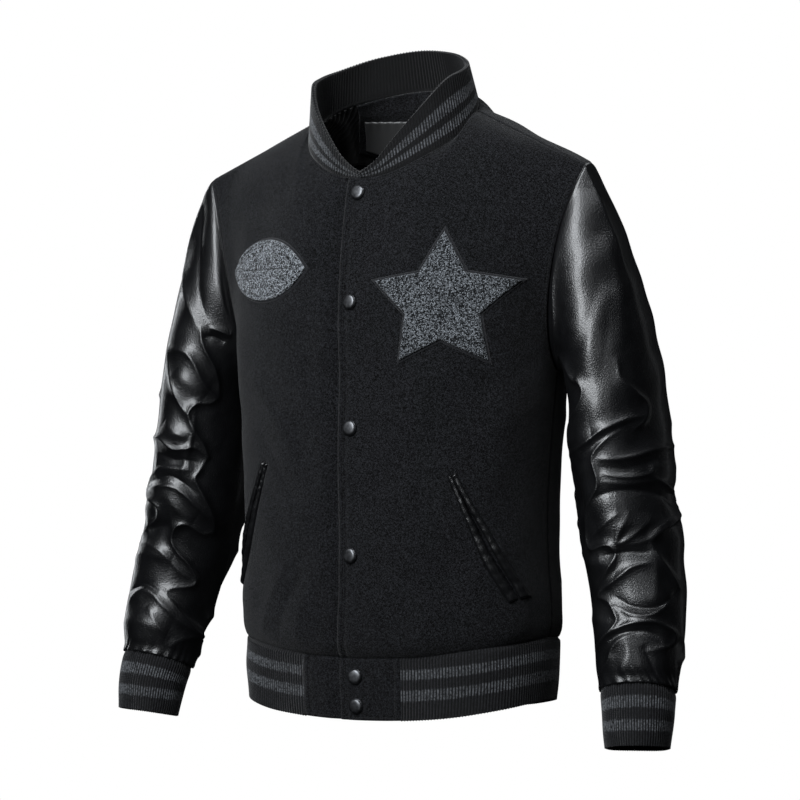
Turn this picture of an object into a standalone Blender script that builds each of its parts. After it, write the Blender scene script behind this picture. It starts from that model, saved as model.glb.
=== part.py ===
"""A varsity jacket, filled out as if worn, with no wearer inside.

Metres, +Z up. The front faces -Y and the wearer's left is +X. The origin is the middle of the neck
opening at the height of the side of the neck, where the wearer's neck and shoulders hold the jacket.

Every cloth piece is a wall through a grid of points: rows run up the piece and columns run round it.
Neighbouring pieces take the points of their shared seam from one function, and their edges are
mitred there, so that they meet face to face with a small gap.
"""

import math

import bpy
import numpy as np

# ---- Driving sizes ---------------------------------------------------------------------------

WOOL = 0.0025
LEATHER = 0.0018
RIB = 0.0035
LINING = 0.0010
FELT = 0.0012
CHENILLE = 0.0028
SEAM_GAP = 0.0004
DEEPEST_MITRE = 1.6  # the most that a mitre may lengthen a wall's edge

OVERLAP = 0.016  # each front runs this far past the centre
HEM_OVERLAP = 0.0205
UNDERLAP = 0.0038  # the wearer's right front lies this far behind the left one
UNDERLAP_FULL, UNDERLAP_END = 0.032, 0.052

BODY_MIDDLE = 0.0125
CHEST = -0.305  # height of the underarm point
WAIST_SEAM = (-0.625, 0.1855, -0.1000, 0.1230, 0.04)
SIDE_RISE = 0.022  # the hem runs this much higher at the sides
SIDE_RISE_FULL, SIDE_RISE_END = -0.600, -0.430

# Sections of the body: height, half width, centre front, centre back, squareness
BODY_SECTIONS = (
    WAIST_SEAM,
    (-0.615, 0.1885, -0.1050, 0.1275, 0.04),
    (-0.592, 0.1895, -0.1085, 0.1300, 0.04),
    (-0.540, 0.1865, -0.1100, 0.1305, 0.04),
    (-0.450, 0.1850, -0.1115, 0.1330, 0.04),
    (-0.370, 0.1900, -0.1120, 0.1350, 0.04),
    (CHEST, 0.1960, -0.1110, 0.1360, 0.04),
)
# Sections of the ribbed hem, in the same columns
HEM_SECTIONS = (
    (-0.6945, 0.1830, -0.0970, 0.1190, 0.04),
    (-0.660, 0.1860, -0.0985, 0.1225, 0.04),
    WAIST_SEAM,
)

NECK_MIDDLE = -0.009
NECK_HALF_WIDTH = 0.101
NECK_HALF_DEPTH = 0.079
RIM_MIDDLE = -0.017
RIM_HALF_WIDTH = 0.0925
RIM_HALF_DEPTH = 0.075
SIDE_NECK = 100.0  # degrees round the neck from centre front to the shoulder seam
NECK_SHARE = 0.42  # share of a panel's columns that end on the neckline
SHOULDER_END = np.array((0.2405, -0.012, -0.078))

COLLAR_PART = 0.0008  # half the gap between the collar's two ends

# Round the neck from centre front, in degrees: height of the neck seam, and of the collar's rim
NECK = (
    (0, -0.0890, -0.0850),
    (12, -0.0870, -0.0720),
    (26, -0.0790, -0.0460),
    (42, -0.0660, -0.0180),
    (68, -0.0440, 0.0200),
    (92, -0.0180, 0.0340),
    (113, 0.0010, 0.0440),
    (150, 0.0200, 0.0620),
    (180, 0.0270, 0.0690),
)
# How a panel's columns climb from the chest to the neckline and shoulder, by share of the way from the
# centre to the side: the y and z of the climb's start, then the x, y and z of its end
FRONT_CLIMB = (
    (-0.42, -0.020, 0.36, 0.00, 0.22, 0.06),
    (0.00, -0.010, 0.22, 0.00, 0.06, 0.20),
    (0.42, -0.020, 0.36, 0.00, 0.22, 0.06),
    (0.75, -0.030, 0.30, 0.00, 0.17, 0.10),
    (1.00, -0.160, 0.12, 0.09, 0.09, 0.20),
)
BACK_CLIMB = (
    (-0.42, 0.050, 0.42, 0.00, -0.30, -0.08),
    (0.00, 0.050, 0.33, 0.00, -0.17, 0.20),
    (0.42, 0.050, 0.42, 0.00, -0.30, -0.08),
    (0.75, 0.060, 0.36, 0.01, -0.28, -0.09),
    (1.00, 0.300, 0.14, 0.03, -0.30, -0.12),
)

# Sections of a sleeve: drop below the origin, centre x, centre y, half width, half depth
SLEEVE_TOP, SLEEVE_END = 0.340, 0.655
SLEEVE_SECTIONS = (
    (SLEEVE_TOP, 0.2655, 0.0230, 0.0500, 0.0740),
    (0.400, 0.2700, 0.0230, 0.0530, 0.0740),
    (0.450, 0.2755, 0.0206, 0.0550, 0.0720),
    (0.520, 0.2900, 0.0137, 0.0530, 0.0600),
    (0.565, 0.3000, 0.0025, 0.0510, 0.0530),
    (0.615, 0.3050, -0.0110, 0.0470, 0.0485),
    (0.643, 0.3070, -0.0170, 0.0440, 0.0450),
    (SLEEVE_END, 0.3085, -0.0205, 0.0405, 0.0410),
)
CUFF_SECTIONS = (
    (SLEEVE_END, 0.3085, -0.0205, 0.0405, 0.0410),
    (0.675, 0.3110, -0.0275, 0.0395, 0.0400),
    (0.716, 0.3140, -0.0345, 0.0350, 0.0350),
)
RIGHT_LIFT = 0.013  # the wearer's right cuff sits this much higher than the left
SHOULDER_TURN = 165.0  # degrees round the sleeve from the underarm, by the front, to the shoulder seam
# The largest folds of a sleeve, as ridges between two points, each given by its degrees round the
# sleeve and its drop: degrees, drop, degrees, drop, height, half breadth
LEFT_FOLDS = (
    (60, 0.385, 170, 0.425, 0.006, 0.020),
    (70, 0.470, 175, 0.440, 0.005, 0.016),
    (90, 0.545, 190, 0.520, 0.006, 0.017),
    (60, 0.600, 150, 0.585, 0.005, 0.015),
    (100, 0.626, 170, 0.622, 0.003, 0.014),
    (230, 0.420, 300, 0.450, 0.004, 0.018),
    (240, 0.560, 320, 0.540, 0.004, 0.018),
)
RIGHT_FOLDS = (
    (70, 0.345, 175, 0.300, 0.005, 0.020),
    (80, 0.430, 180, 0.410, 0.006, 0.018),
    (60, 0.500, 170, 0.465, 0.006, 0.018),
    (70, 0.575, 175, 0.530, 0.005, 0.016),
    (80, 0.618, 180, 0.595, 0.005, 0.014),
    (230, 0.440, 310, 0.410, 0.004, 0.018),
    (230, 0.550, 320, 0.570, 0.004, 0.018),
)

UPPER_ROWS = 10  # rows of cloth between the chest and the shoulder
SHOULDER_COLUMNS = 6
LEFT_TAB_COLUMN, LEFT_NECK_COLUMNS = 2, 5
RIGHT_TAB_COLUMN, RIGHT_NECK_COLUMNS = 3, 6
BACK_NECK_COLUMNS = 6
CAP_ROWS, ARM_ROWS = 6, 11
ELBOW_ROW = 7  # each sleeve is two solids, which meet at this row above its end

# Edges of what shows inside the neck: level, share on the wearer's right, share on the wearer's left
LINING_DEPTH, FACING_DEPTH, LABEL_DEPTH = 0.0086, 0.0120, 0.0154
INSIDE_COLUMNS, INSIDE_ROWS = 15, 8
LINING_ROWS = (
    (0.62, -0.80, 0.80),
    (0.72, -0.72, 0.72),
    (0.82, -0.62, 0.62),
    (0.90, -0.52, 0.52),
    (0.965, -0.42, 0.42),
)
FACING_ROWS = ((0.70, -0.37, 0.37), (0.80, -0.34, 0.34), (0.89, -0.30, 0.30), (0.97, -0.265, 0.265))
LABEL_ROWS = ((0.73, -0.31, 0.11), (0.80, -0.295, 0.11), (0.87, -0.28, 0.11))

SNAP_HEIGHTS = (-0.106, -0.229, -0.369, -0.5105, -0.6455, -0.6785)
SNAP_RADIUS, SNAP_HEIGHT = 0.0083, 0.0042
# Pockets: side, x and height of the upper end, x and height of the lower end
POCKETS = (
    ("left", 0.1160, -0.4200, 0.1770, -0.5580),
    ("right", 0.1200, -0.4080, 0.1780, -0.5460),
)
LIP_WIDTH, LIP_HEIGHT, POCKET_BOW = 0.0065, 0.0030, 0.0015

STAR_CENTRE, STAR_RADIUS, STAR_INNER = (0.107, -0.231), 0.079, 0.52
BALL_CENTRE, BALL_HALF_LENGTH, BALL_HALF_HEIGHT = (0.121, -0.190), 0.0575, 0.0345
FELT_BORDER, PATCH_CLEAR = 0.0035, 0.0008

# ---- Curves and sections ---------------------------------------------------------------------


def hermite(start, leaving, end, arriving, t):
    """A cubic from start to end that leaves and arrives in the given directions."""
    return (
        (1 + 2 * t) * (1 - t) ** 2 * start
        + t * (1 - t) ** 2 * leaving
        + t * t * (3 - 2 * t) * end
        + t * t * (t - 1) * arriving
    )


def from_table(table, position):
    """The other columns of a table at this value of its first column, on a smooth curve through its rows."""
    rows = np.array(table, float)
    knots, values = rows[:, 0], rows[:, 1:]
    slopes = np.gradient(values, knots, axis=0)
    at = int(np.clip(np.searchsorted(knots, position) - 1, 0, len(knots) - 2))
    step = knots[at + 1] - knots[at]
    t = (position - knots[at]) / step
    return hermite(values[at], slopes[at] * step, values[at + 1], slopes[at + 1] * step, t)


def ease(position, full, end):
    """1 up to full, 0 from end on, and smooth between."""
    t = np.clip((position - full) / (end - full), 0, 1)
    return 1 - t * t * (3 - 2 * t)


def unit(vectors):
    return vectors / np.linalg.norm(vectors, axis=-1, keepdims=True)


def mirrored(points):
    return points * np.array((-1, 1, 1))


def girth_point(sections, turn, height):
    """A point of the body or the hem; turn goes from 0 at centre front to pi at centre back."""
    half_width, front, back, square = from_table(sections, height)
    across = (math.sin(turn) + square * math.sin(3 * turn)) / (1 - square)
    forward = (math.cos(turn) - square * math.cos(3 * turn)) / (1 - square)
    rise = SIDE_RISE * math.sin(turn) ** 2 * ease(height, SIDE_RISE_FULL, SIDE_RISE_END)
    x = half_width * across
    y = (front + back) / 2 - (back - front) / 2 * forward
    return np.array((x, y, height + rise))


def neck_point(degrees, rim=0.0):
    """A point of the collar: rim goes from 0 at the neck seam to 1 at the collar's rim."""
    turn = math.radians(degrees)
    seam_height, rim_height = from_table(NECK, degrees)
    middle = NECK_MIDDLE + (RIM_MIDDLE - NECK_MIDDLE) * rim
    half_width = NECK_HALF_WIDTH + (RIM_HALF_WIDTH - NECK_HALF_WIDTH) * rim
    half_depth = NECK_HALF_DEPTH + (RIM_HALF_DEPTH - NECK_HALF_DEPTH) * rim
    x = half_width * math.sin(turn)
    y = middle - half_depth * math.cos(turn)
    return np.array((x, y, seam_height + (rim_height - seam_height) * rim))


def neck_degrees(share, is_front):
    """Where a panel's column meets the neckline."""
    if is_front:
        return SIDE_NECK * share / NECK_SHARE
    return 180 - (180 - SIDE_NECK) * share / NECK_SHARE


def top_point(share, is_front):
    """A panel's top edge: the neckline, then the shoulder seam."""
    if share <= NECK_SHARE:
        return neck_point(neck_degrees(share, is_front))
    along = (share - NECK_SHARE) / (1 - NECK_SHARE)
    return neck_point(SIDE_NECK) * (1 - along) + SHOULDER_END * along


def panel_point(share, level, is_front):
    """A point of the wearer's left half of the front or back. Share goes from 0 at the centre to 1 at the
    side. Level is the height below the chest when negative, and the share of the climb above it."""
    if share < 0:
        return mirrored(panel_point(-share, level, is_front))
    turn = share * math.pi / 2 if is_front else math.pi - share * math.pi / 2
    if level <= 0:
        return girth_point(BODY_SECTIONS, turn, CHEST + level)
    climb = from_table(FRONT_CLIMB if is_front else BACK_CLIMB, share)
    leaving = np.array((0, climb[0], climb[1]))
    start = girth_point(BODY_SECTIONS, turn, CHEST)
    return hermite(start, leaving, top_point(share, is_front), climb[2:], level)


def arm_axis(sections, drop):
    """Centre of a sleeve's section, and the directions outward and forward across it."""
    centre, ahead, behind = (
        np.array((*from_table(sections, at)[:2], -at)) for at in (drop, drop + 0.004, drop - 0.004)
    )
    along = unit(ahead - behind)
    outward = unit(np.cross(along, (0, 1, 0)))
    outward = outward * np.sign(outward[0])
    forward = unit(np.cross(outward, along))
    return centre, outward, forward * -np.sign(forward[1])


def arm_point(sections, degrees, drop, folds=()):
    """A point of a sleeve or cuff, by its degrees round it from the underarm by the front."""
    half_width, half_depth = from_table(sections, drop)[2:]
    centre, outward, forward = arm_axis(sections, drop)
    turn = math.radians(degrees)
    spoke = forward * half_depth * math.sin(turn) - outward * half_width * math.cos(turn)
    return centre + spoke + unit(spoke) * fold_height(folds, degrees, drop)


def fold_height(folds, degrees, drop):
    """How far the folds lift the cloth here."""
    height = 0.0
    reach = SLEEVE_SECTIONS[0][4]
    here = np.array((math.radians(degrees) * reach, drop))
    for first_degrees, first_drop, last_degrees, last_drop, lift, breadth in folds:
        first = np.array((math.radians(first_degrees) * reach, first_drop))
        last = np.array((math.radians(last_degrees) * reach, last_drop))
        run = last - first
        along = np.clip((here - first) @ run / (run @ run), 0, 1)
        away = np.linalg.norm(here - first - along * run) / breadth
        taper = 0.4 + 0.6 * math.sin(math.pi * (0.15 + 0.7 * along))
        height += lift * taper * math.exp(-away * away)
    return height


# ---- Walls ---------------------------------------------------------------------------------


class Cloth:
    """A grid of points on the outside of one cloth piece, and what its wall is made of."""

    def __init__(self, name, grid, thickness, material, family, closed=False):
        self.name, self.thickness, self.material = name, thickness, material
        self.family, self.closed = family, closed
        self.grid = np.array(grid)
        self.normals = self.outward_normals()
        self.inward = -self.normals
        self.depth = np.full(self.grid.shape[:2], thickness)
        self.shift = np.zeros_like(self.grid)

    def outward_normals(self):
        up = np.gradient(self.grid, axis=0)
        if self.closed:
            round_it = np.roll(self.grid, -1, 1) - np.roll(self.grid, 1, 1)
            middle = self.grid.mean(axis=1, keepdims=True)
        else:
            round_it = np.gradient(self.grid, axis=1)
            middle = self.grid * (0, 0, 1) + (0, BODY_MIDDLE, 0)
        normals = unit(np.cross(round_it, up))
        self.turned = ((normals * (self.grid - middle)).sum() < 0)
        return -normals if self.turned else normals

    def edges(self):
        """Row, column, direction along the edge and direction into the piece, for each point on an edge."""
        rows, columns = self.grid.shape[:2]
        for row, inner in ((0, 1), (rows - 1, rows - 2)):
            for column in range(columns):
                after = (column + 1) % columns if self.closed else min(column + 1, columns - 1)
                before = column - 1 if self.closed else max(column - 1, 0)
                along = self.grid[row, after] - self.grid[row, before]
                yield row, column, along, self.grid[inner, column] - self.grid[row, column]
        if self.closed:
            return
        for column, inner in ((0, 1), (columns - 1, columns - 2)):
            for row in range(rows):
                along = self.grid[min(row + 1, rows - 1), column] - self.grid[max(row - 1, 0), column]
                yield row, column, along, self.grid[row, inner] - self.grid[row, column]


def mitre(pieces):
    """Turns the walls' edges at each seam into the seam's own direction, and opens the gap there."""
    edges = [(piece, row, column) for piece in pieces for row, column, _, _ in piece.edges()]
    places = np.array([piece.grid[row, column] for piece, row, column in edges])
    for piece in pieces:
        for row, column, along, into in piece.edges():
            near = np.linalg.norm(places - piece.grid[row, column], axis=1) < 1e-5
            families = {}
            for index in np.flatnonzero(near):
                other, other_row, other_column = edges[index]
                families.setdefault(other.family, []).append(other.normals[other_row, other_column])
            outward = unit(sum(unit(sum(found)) for found in families.values()))
            normal = piece.normals[row, column]
            piece.inward[row, column] = -outward
            cosine = max(outward @ normal, 1 / DEEPEST_MITRE)
            piece.depth[row, column] = piece.thickness / cosine
            into = unit(into)
            across = unit(np.cross(along, outward))
            side = 1 if (into - 0.3 * normal) @ across > 0 else -1
            piece.shift[row, column] += SEAM_GAP / 2 * (0.7 * side * across + 0.3 * into)


def wall_faces(rows, columns, closed, capped):
    """Faces of a wall whose outer points come first and inner points second: its sides, then its edges."""
    inner = rows * columns
    steps = range(columns if closed else columns - 1)
    sides, edges = [], []
    for row in range(rows - 1):
        low, high = row * columns, (row + 1) * columns
        for column in steps:
            after = (column + 1) % columns
            face = (low + column, low + after, high + after, high + column)
            sides += [face, tuple(inner + corner for corner in reversed(face))]
    for row, turned in ((0, False), (rows - 1, True)):
        start = row * columns
        if capped and row == 0:
            ring = tuple(range(columns))
            sides += [ring[::-1], tuple(inner + corner for corner in ring)]
            continue
        for column in steps:
            first, second = start + column, start + (column + 1) % columns
            edges.append((first, second) if turned else (second, first))
    if not closed:
        for row in range(rows - 1):
            low, high = row * columns, (row + 1) * columns
            edges += [(low, high), (high + columns - 1, low + columns - 1)]
    return sides, [(*edge, inner + edge[1], inner + edge[0]) for edge in edges]


def split_alike(points, face):
    """Two triangles of an edge face, cut from the outer corner that comes first in a fixed direction, so
    that pieces which meet at a seam are cut alike."""
    a, b, c, d = face
    if (points[a] - points[b]) @ np.array((0.8, 0.5, 0.3)) < 0:
        return [(a, b, c), (a, c, d)]
    return [(a, b, d), (b, c, d)]


def add_wall(name, outer, inner, material, closed=False, turned=False, capped=False):
    """A closed solid between two grids of points."""
    rows, columns = outer.shape[:2]
    sides, edges = wall_faces(rows, columns, closed, capped)
    points = np.concatenate((outer.reshape(-1, 3), inner.reshape(-1, 3)))
    faces = sides + [part for edge in edges for part in split_alike(points, edge)]
    if turned:
        faces = [face[::-1] for face in faces]
    mesh = bpy.data.meshes.new(name)
    mesh.from_pydata(points.tolist(), [], faces)
    mesh.shade_smooth()
    mesh.set_sharp_from_angle(angle=math.radians(50))
    mesh.materials.append(material)
    obj = bpy.data.objects.new(name, mesh)
    jacket.objects.link(obj)
    return obj


def add_cloth(pieces):
    mitre(pieces)
    for piece in pieces:
        outer = piece.grid + piece.shift
        inner = outer + piece.inward * piece.depth[..., None]
        add_wall(piece.name, outer, inner, piece.material, piece.closed, piece.turned)


# ---- Body panels, hem and collar -------------------------------------------------------------


def body_levels():
    """Levels of a panel's rows, from the waist seam up."""
    lower = [section[0] - CHEST for section in BODY_SECTIONS]
    return lower + [row / UPPER_ROWS for row in range(1, UPPER_ROWS + 1)]


def panel_shares(neck_columns):
    """Shares of a panel's columns from the centre to the side."""
    neck = np.linspace(0, NECK_SHARE, neck_columns + 1)
    return [*neck, *np.linspace(NECK_SHARE, 1, SHOULDER_COLUMNS + 1)[1:]]


def underlap(points):
    """Sets the wearer's right front back where the left one covers it."""
    depth = UNDERLAP * ease(-points[..., 0], UNDERLAP_FULL, UNDERLAP_END)
    return points + depth[..., None] * np.array((0, 1, 0))


def overlap_share(level):
    """The share at which a front's row ends past the centre."""
    step = 0.02
    widening = ease(CHEST + level, WAIST_SEAM[0], BODY_SECTIONS[3][0])
    overlap = OVERLAP + (HEM_OVERLAP - OVERLAP) * widening
    return -overlap * step / panel_point(step, level, True)[0]


def front_grid(neck_columns):
    """The wearer's left front; its first column is the overlap's edge."""
    return np.array([
        [panel_point(share, level, True) for share in [overlap_share(level), *panel_shares(neck_columns)]]
        for level in body_levels()
    ])


def back_grid():
    shares = panel_shares(BACK_NECK_COLUMNS)
    half = np.array([
        [panel_point(share, level, False) for share in shares] for level in body_levels()
    ])
    return np.concatenate((half[:, ::-1], mirrored(half)[:, 1:]), axis=1)


def hem_grid(shares, is_front):
    """The hem band below a panel's columns."""
    heights = np.linspace(HEM_SECTIONS[0][0], WAIST_SEAM[0], 4)
    turns = [abs(share) * math.pi / 2 if is_front else math.pi - share * math.pi / 2 for share in shares]
    grid = np.array([[girth_point(HEM_SECTIONS, turn, height) for turn in turns] for height in heights])
    grid[..., 0] *= np.sign(np.array(shares) + 1e-9)
    return grid


def body_pieces():
    left = front_grid(LEFT_NECK_COLUMNS)
    right = underlap(mirrored(front_grid(RIGHT_NECK_COLUMNS)))
    return [
        Cloth("front_left", left, WOOL, wool, "body"),
        Cloth("front_right", right, WOOL, wool, "body"),
        Cloth("back", back_grid(), WOOL, wool, "body"),
    ]


def hem_pieces():
    """The ribbed hem, and the wool tabs that carry the two lowest snaps."""
    edge = overlap_share(WAIST_SEAM[0] - CHEST)
    left_shares = [edge, *panel_shares(LEFT_NECK_COLUMNS)]
    right_shares = [edge, *panel_shares(RIGHT_NECK_COLUMNS)]
    back_shares = panel_shares(BACK_NECK_COLUMNS)
    left = hem_grid(left_shares, True)
    right = underlap(mirrored(hem_grid(right_shares, True)))
    back = hem_grid(back_shares, False)
    left_end, right_end = LEFT_TAB_COLUMN + 1, RIGHT_TAB_COLUMN + 1
    strips = (left[:, left_end:-1], back[:, ::-1], mirrored(back)[:, 1:-1], right[:, :right_end - 1:-1])
    return [
        Cloth("hem_rib", np.concatenate(strips, axis=1), RIB, rib, "hem"),
        Cloth("hem_tab_left", left[:, :left_end + 1], WOOL, wool, "hem"),
        Cloth("hem_tab_right", right[:, :right_end + 1], WOOL, wool, "hem"),
    ]


def collar_piece():
    """The ribbed collar, a band that narrows to nothing much at centre front."""
    left = [neck_degrees(share, True) for share in panel_shares(LEFT_NECK_COLUMNS)[:LEFT_NECK_COLUMNS + 1]]
    back = [neck_degrees(share, False) for share in panel_shares(BACK_NECK_COLUMNS)[:BACK_NECK_COLUMNS + 1]]
    right = [neck_degrees(share, True) for share in panel_shares(RIGHT_NECK_COLUMNS)[:RIGHT_NECK_COLUMNS + 1]]
    rims = np.linspace(0, 1, 5)
    left_half = np.array([[neck_point(at, rim) for at in left + back[-2::-1]] for rim in rims])
    right_half = np.array([[neck_point(at, rim) for at in right + back[-2:0:-1]] for rim in rims])
    right_half = mirrored(right_half)
    right_half[:, :len(right)] = underlap(right_half[:, :len(right)])
    grid = np.concatenate((left_half, right_half[:, ::-1]), axis=1)
    grid[:, 0, 0] += COLLAR_PART
    grid[:, -1, 0] -= COLLAR_PART
    return Cloth("collar", grid, RIB, rib, "collar")


# ---- Sleeves and cuffs -----------------------------------------------------------------------


def armhole():
    """The armhole's points from the underarm by the front, and their degrees round the sleeve."""
    steps = [row / UPPER_ROWS for row in range(UPPER_ROWS + 1)]
    front = np.array([panel_point(1, step, True) for step in steps])
    back = np.array([panel_point(1, step, False) for step in steps[::-1]])
    lengths = [np.cumsum([0, *np.linalg.norm(np.diff(edge, axis=0), axis=1)]) for edge in (front, back)]
    front_degrees = SHOULDER_TURN * lengths[0] / lengths[0][-1]
    back_degrees = SHOULDER_TURN + (360 - SHOULDER_TURN) * lengths[1] / lengths[1][-1]
    points = np.concatenate((front[:-1], back[:-1]))
    return points, np.concatenate((front_degrees[:-1], back_degrees[:-1]))


def sleeve_grid(folds):
    """The wearer's left sleeve, from its end up to the armhole."""
    points, degrees = armhole()
    turns = np.radians(degrees)
    leaving = np.stack((
        0.060 - 0.015 * np.cos(turns),
        -0.035 * np.sin(turns),
        -0.065 + 0.065 * np.cos(turns),
    ), axis=1)
    tube = [np.array([arm_point(SLEEVE_SECTIONS, at, drop, folds) for at in degrees])
            for drop in np.linspace(SLEEVE_END, SLEEVE_TOP, ARM_ROWS + 1)]
    centre, outward, forward = arm_axis(SLEEVE_SECTIONS, SLEEVE_TOP)
    down = unit(np.cross(outward, forward))
    down = down * -np.sign(down[2])
    reach = 0.180 - 0.130 * np.cos(turns)
    cap = [hermite(points, leaving, tube[-1], down * reach[:, None], row / CAP_ROWS)
           for row in range(CAP_ROWS - 1, -1, -1)]
    return np.array(tube + cap)


def cuff_grid():
    _, degrees = armhole()
    drops = (CUFF_SECTIONS[-1][0], 0.696, CUFF_SECTIONS[1][0], SLEEVE_END)
    return np.array([[arm_point(CUFF_SECTIONS, at, drop) for at in degrees] for drop in drops])


def lifted(grid):
    """Bends the wearer's right arm up a little."""
    lift = RIGHT_LIFT * (1 - ease(-grid[..., 2], SLEEVE_TOP, SLEEVE_END))
    return grid + lift[..., None] * np.array((0, 0, 1))


def sleeve_pieces():
    pieces = []
    for side, folds, turned in (("left", LEFT_FOLDS, False), ("right", RIGHT_FOLDS, True)):
        sleeve, cuff = sleeve_grid(folds), cuff_grid()
        cuff[-1] = sleeve[0]
        if turned:
            sleeve, cuff = (lifted(mirrored(grid)) for grid in (sleeve, cuff))
        for half, rows in (("lower", sleeve[:ELBOW_ROW + 1]), ("upper", sleeve[ELBOW_ROW:])):
            pieces.append(Cloth(f"sleeve_{side}_{half}", rows, LEATHER, leather, "arm", closed=True))
        pieces.append(Cloth(f"cuff_{side}", cuff, RIB, rib, "cuff", closed=True))
    return pieces


# ---- What lies on the panels -----------------------------------------------------------------


def on_front(x, height):
    """Share and level of the front's point with this x and height, both of its left half."""
    found = np.array((x / 0.36, min((height - CHEST) / 0.25, 0.9) if height > CHEST else height - CHEST))
    for _ in range(12):
        here = panel_point(*found, True)[[0, 2]]
        slopes = np.array([
            (panel_point(found[0] + 1e-4, found[1], True)[[0, 2]] - here) / 1e-4,
            (panel_point(found[0], found[1] + 1e-4, True)[[0, 2]] - here) / 1e-4,
        ]).T
        found = found + np.linalg.solve(slopes, np.array((x, height)) - here)
        found = np.clip(found, (-0.2, -0.33), (1, 1))
    return found


def front_frame(x, height):
    """The front's point with this x and height, and its outward normal."""
    share, level = on_front(x, height)
    point = panel_point(share, level, True)
    across = panel_point(share + 1e-3, level, True) - point
    up = panel_point(share, level + 1e-3, True) - panel_point(share, level - 1e-3, True)
    return point, unit(np.cross(across, up))


def raised(places, low, high):
    """Two grids of points, this far off the front, over a grid of x and height; low and high may be grids."""
    frames = [[front_frame(*place) for place in row] for row in places]
    points = np.array([[frame[0] for frame in row] for row in frames])
    normals = np.array([[frame[1] for frame in row] for row in frames])
    low = np.broadcast_to(low, points.shape[:2])[..., None]
    high = np.broadcast_to(high, points.shape[:2])[..., None]
    return points + normals * high, points + normals * low


def add_patch(name, outline, centre, side, low, thickness, material, rings=4):
    """A patch of this outline, given about its own centre, that follows the front it lies on."""
    places = [[np.array(centre) + np.array(point) * ring / rings for point in outline]
              for ring in range(1, rings + 1)]
    outer, inner = raised(places, low, low + thickness)
    turned = True
    if side == "right":
        outer, inner, turned = mirrored(outer), mirrored(inner), not turned
    return add_wall(name, outer, inner, material, closed=True, turned=turned, capped=True)


def star_outline(radius, inner_share, corner_steps=3):
    """A five-pointed star, anticlockwise from its top point."""
    corners = []
    for index in range(10):
        reach = radius * (1 if index % 2 == 0 else inner_share)
        turn = math.pi / 2 + index * math.pi / 5
        corners.append(np.array((math.cos(turn), math.sin(turn))) * reach)
    outline = []
    for index, corner in enumerate(corners):
        after = corners[(index + 1) % 10]
        outline += [corner + (after - corner) * step / corner_steps for step in range(corner_steps)]
    return outline


def ball_outline(half_length, half_height, steps=12):
    """A pointed oval of two arcs, anticlockwise from its right point."""
    radius = (half_length**2 + half_height**2) / (2 * half_height)
    half_turn = math.asin(half_length / radius)
    outline = []
    for side in (1, -1):
        for step in range(steps):
            turn = half_turn * (1 - 2 * step / steps)
            outline.append(side * np.array((radius * math.sin(turn), radius * (math.cos(turn) - 1) + half_height)))
    return outline


def add_patches():
    layers = (("felt", FELT_BORDER, PATCH_CLEAR, FELT, felt),
              ("chenille", 0, PATCH_CLEAR * 2.5 + FELT, CHENILLE, chenille))
    for layer, border, low, thickness, material in layers:
        star = star_outline(STAR_RADIUS + 1.6 * border, STAR_INNER)
        add_patch(f"star_{layer}", star, STAR_CENTRE, "left", low, thickness, material)
        ball = ball_outline(BALL_HALF_LENGTH + border, BALL_HALF_HEIGHT + 0.7 * border)
        add_patch(f"ball_{layer}", ball, BALL_CENTRE, "right", low, thickness, material)


def add_pockets():
    """Each slanted pocket's two leather lips, which part a little at the middle."""
    for side, top_x, top_height, end_x, end_height in POCKETS:
        top, end = np.array((top_x, top_height)), np.array((end_x, end_height))
        run = unit(end - top)
        across = np.array((-run[1], run[0]))
        for lip, sign in (("front", -1), ("back", 1)):
            steps = np.linspace(0, 1, 9)
            widths = np.linspace(0, 1, 4)
            middle = [top + (end - top) * step for step in steps]
            inner = [SEAM_GAP + POCKET_BOW * math.sin(math.pi * step) for step in steps]
            places = [[line + sign * across * (edge + LIP_WIDTH * width) for width in widths]
                      for line, edge in zip(middle, inner)]
            heights = [LIP_HEIGHT * (0.55 + 0.45 * math.sin(math.pi * width)) for width in widths]
            outer, under = raised(places, PATCH_CLEAR, np.array(heights)[None, :])
            turned = sign > 0
            if side == "right":
                outer, under, turned = mirrored(outer), mirrored(under), not turned
            add_wall(f"pocket_{side}_{lip}_lip", outer, under, leather, turned=turned)


def add_snaps():
    """Press-stud caps on centre front, each a turned profile."""
    profile = (
        (0.0, 1.0), (0.30, 0.97), (0.58, 0.86), (0.72, 0.68), (0.78, 0.60), (0.90, 0.62), (1.0, 0.45),
        (1.0, 0.12), (0.92, 0.0), (0.0, 0.0),
    )
    mesh = bpy.data.meshes.new("snap")
    points = [(SNAP_RADIUS * reach, 0, SNAP_HEIGHT * height) for reach, height in profile]
    mesh.from_pydata(points, [(index, index + 1) for index in range(len(points) - 1)], [])
    mesh.materials.append(metal)
    for index, height in enumerate(SNAP_HEIGHTS, 1):
        if height > WAIST_SEAM[0]:
            point, normal = front_frame(0, height)
        else:
            point = girth_point(HEM_SECTIONS, 0, height)
            normal = np.array((0, -1, 0))
        snap = bpy.data.objects.new(f"snap_{index}", mesh)
        snap.location = point + normal * PATCH_CLEAR
        snap.rotation_mode = "QUATERNION"
        snap.rotation_quaternion = quaternion_from_up(normal)
        turned = snap.modifiers.new("turned", "SCREW")
        turned.steps = turned.render_steps = 16
        turned.use_merge_vertices = True
        turned.merge_threshold = 0.00001
        jacket.objects.link(snap)


def quaternion_from_up(direction):
    """The rotation that takes +Z to this direction."""
    x, y, z = direction
    turn = math.acos(max(-1, min(1, z))) / 2
    axis = unit(np.array((-y, x, 0.0)))
    return math.cos(turn), *(axis * math.sin(turn))


# ---- Inside the neck -------------------------------------------------------------------------


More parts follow.
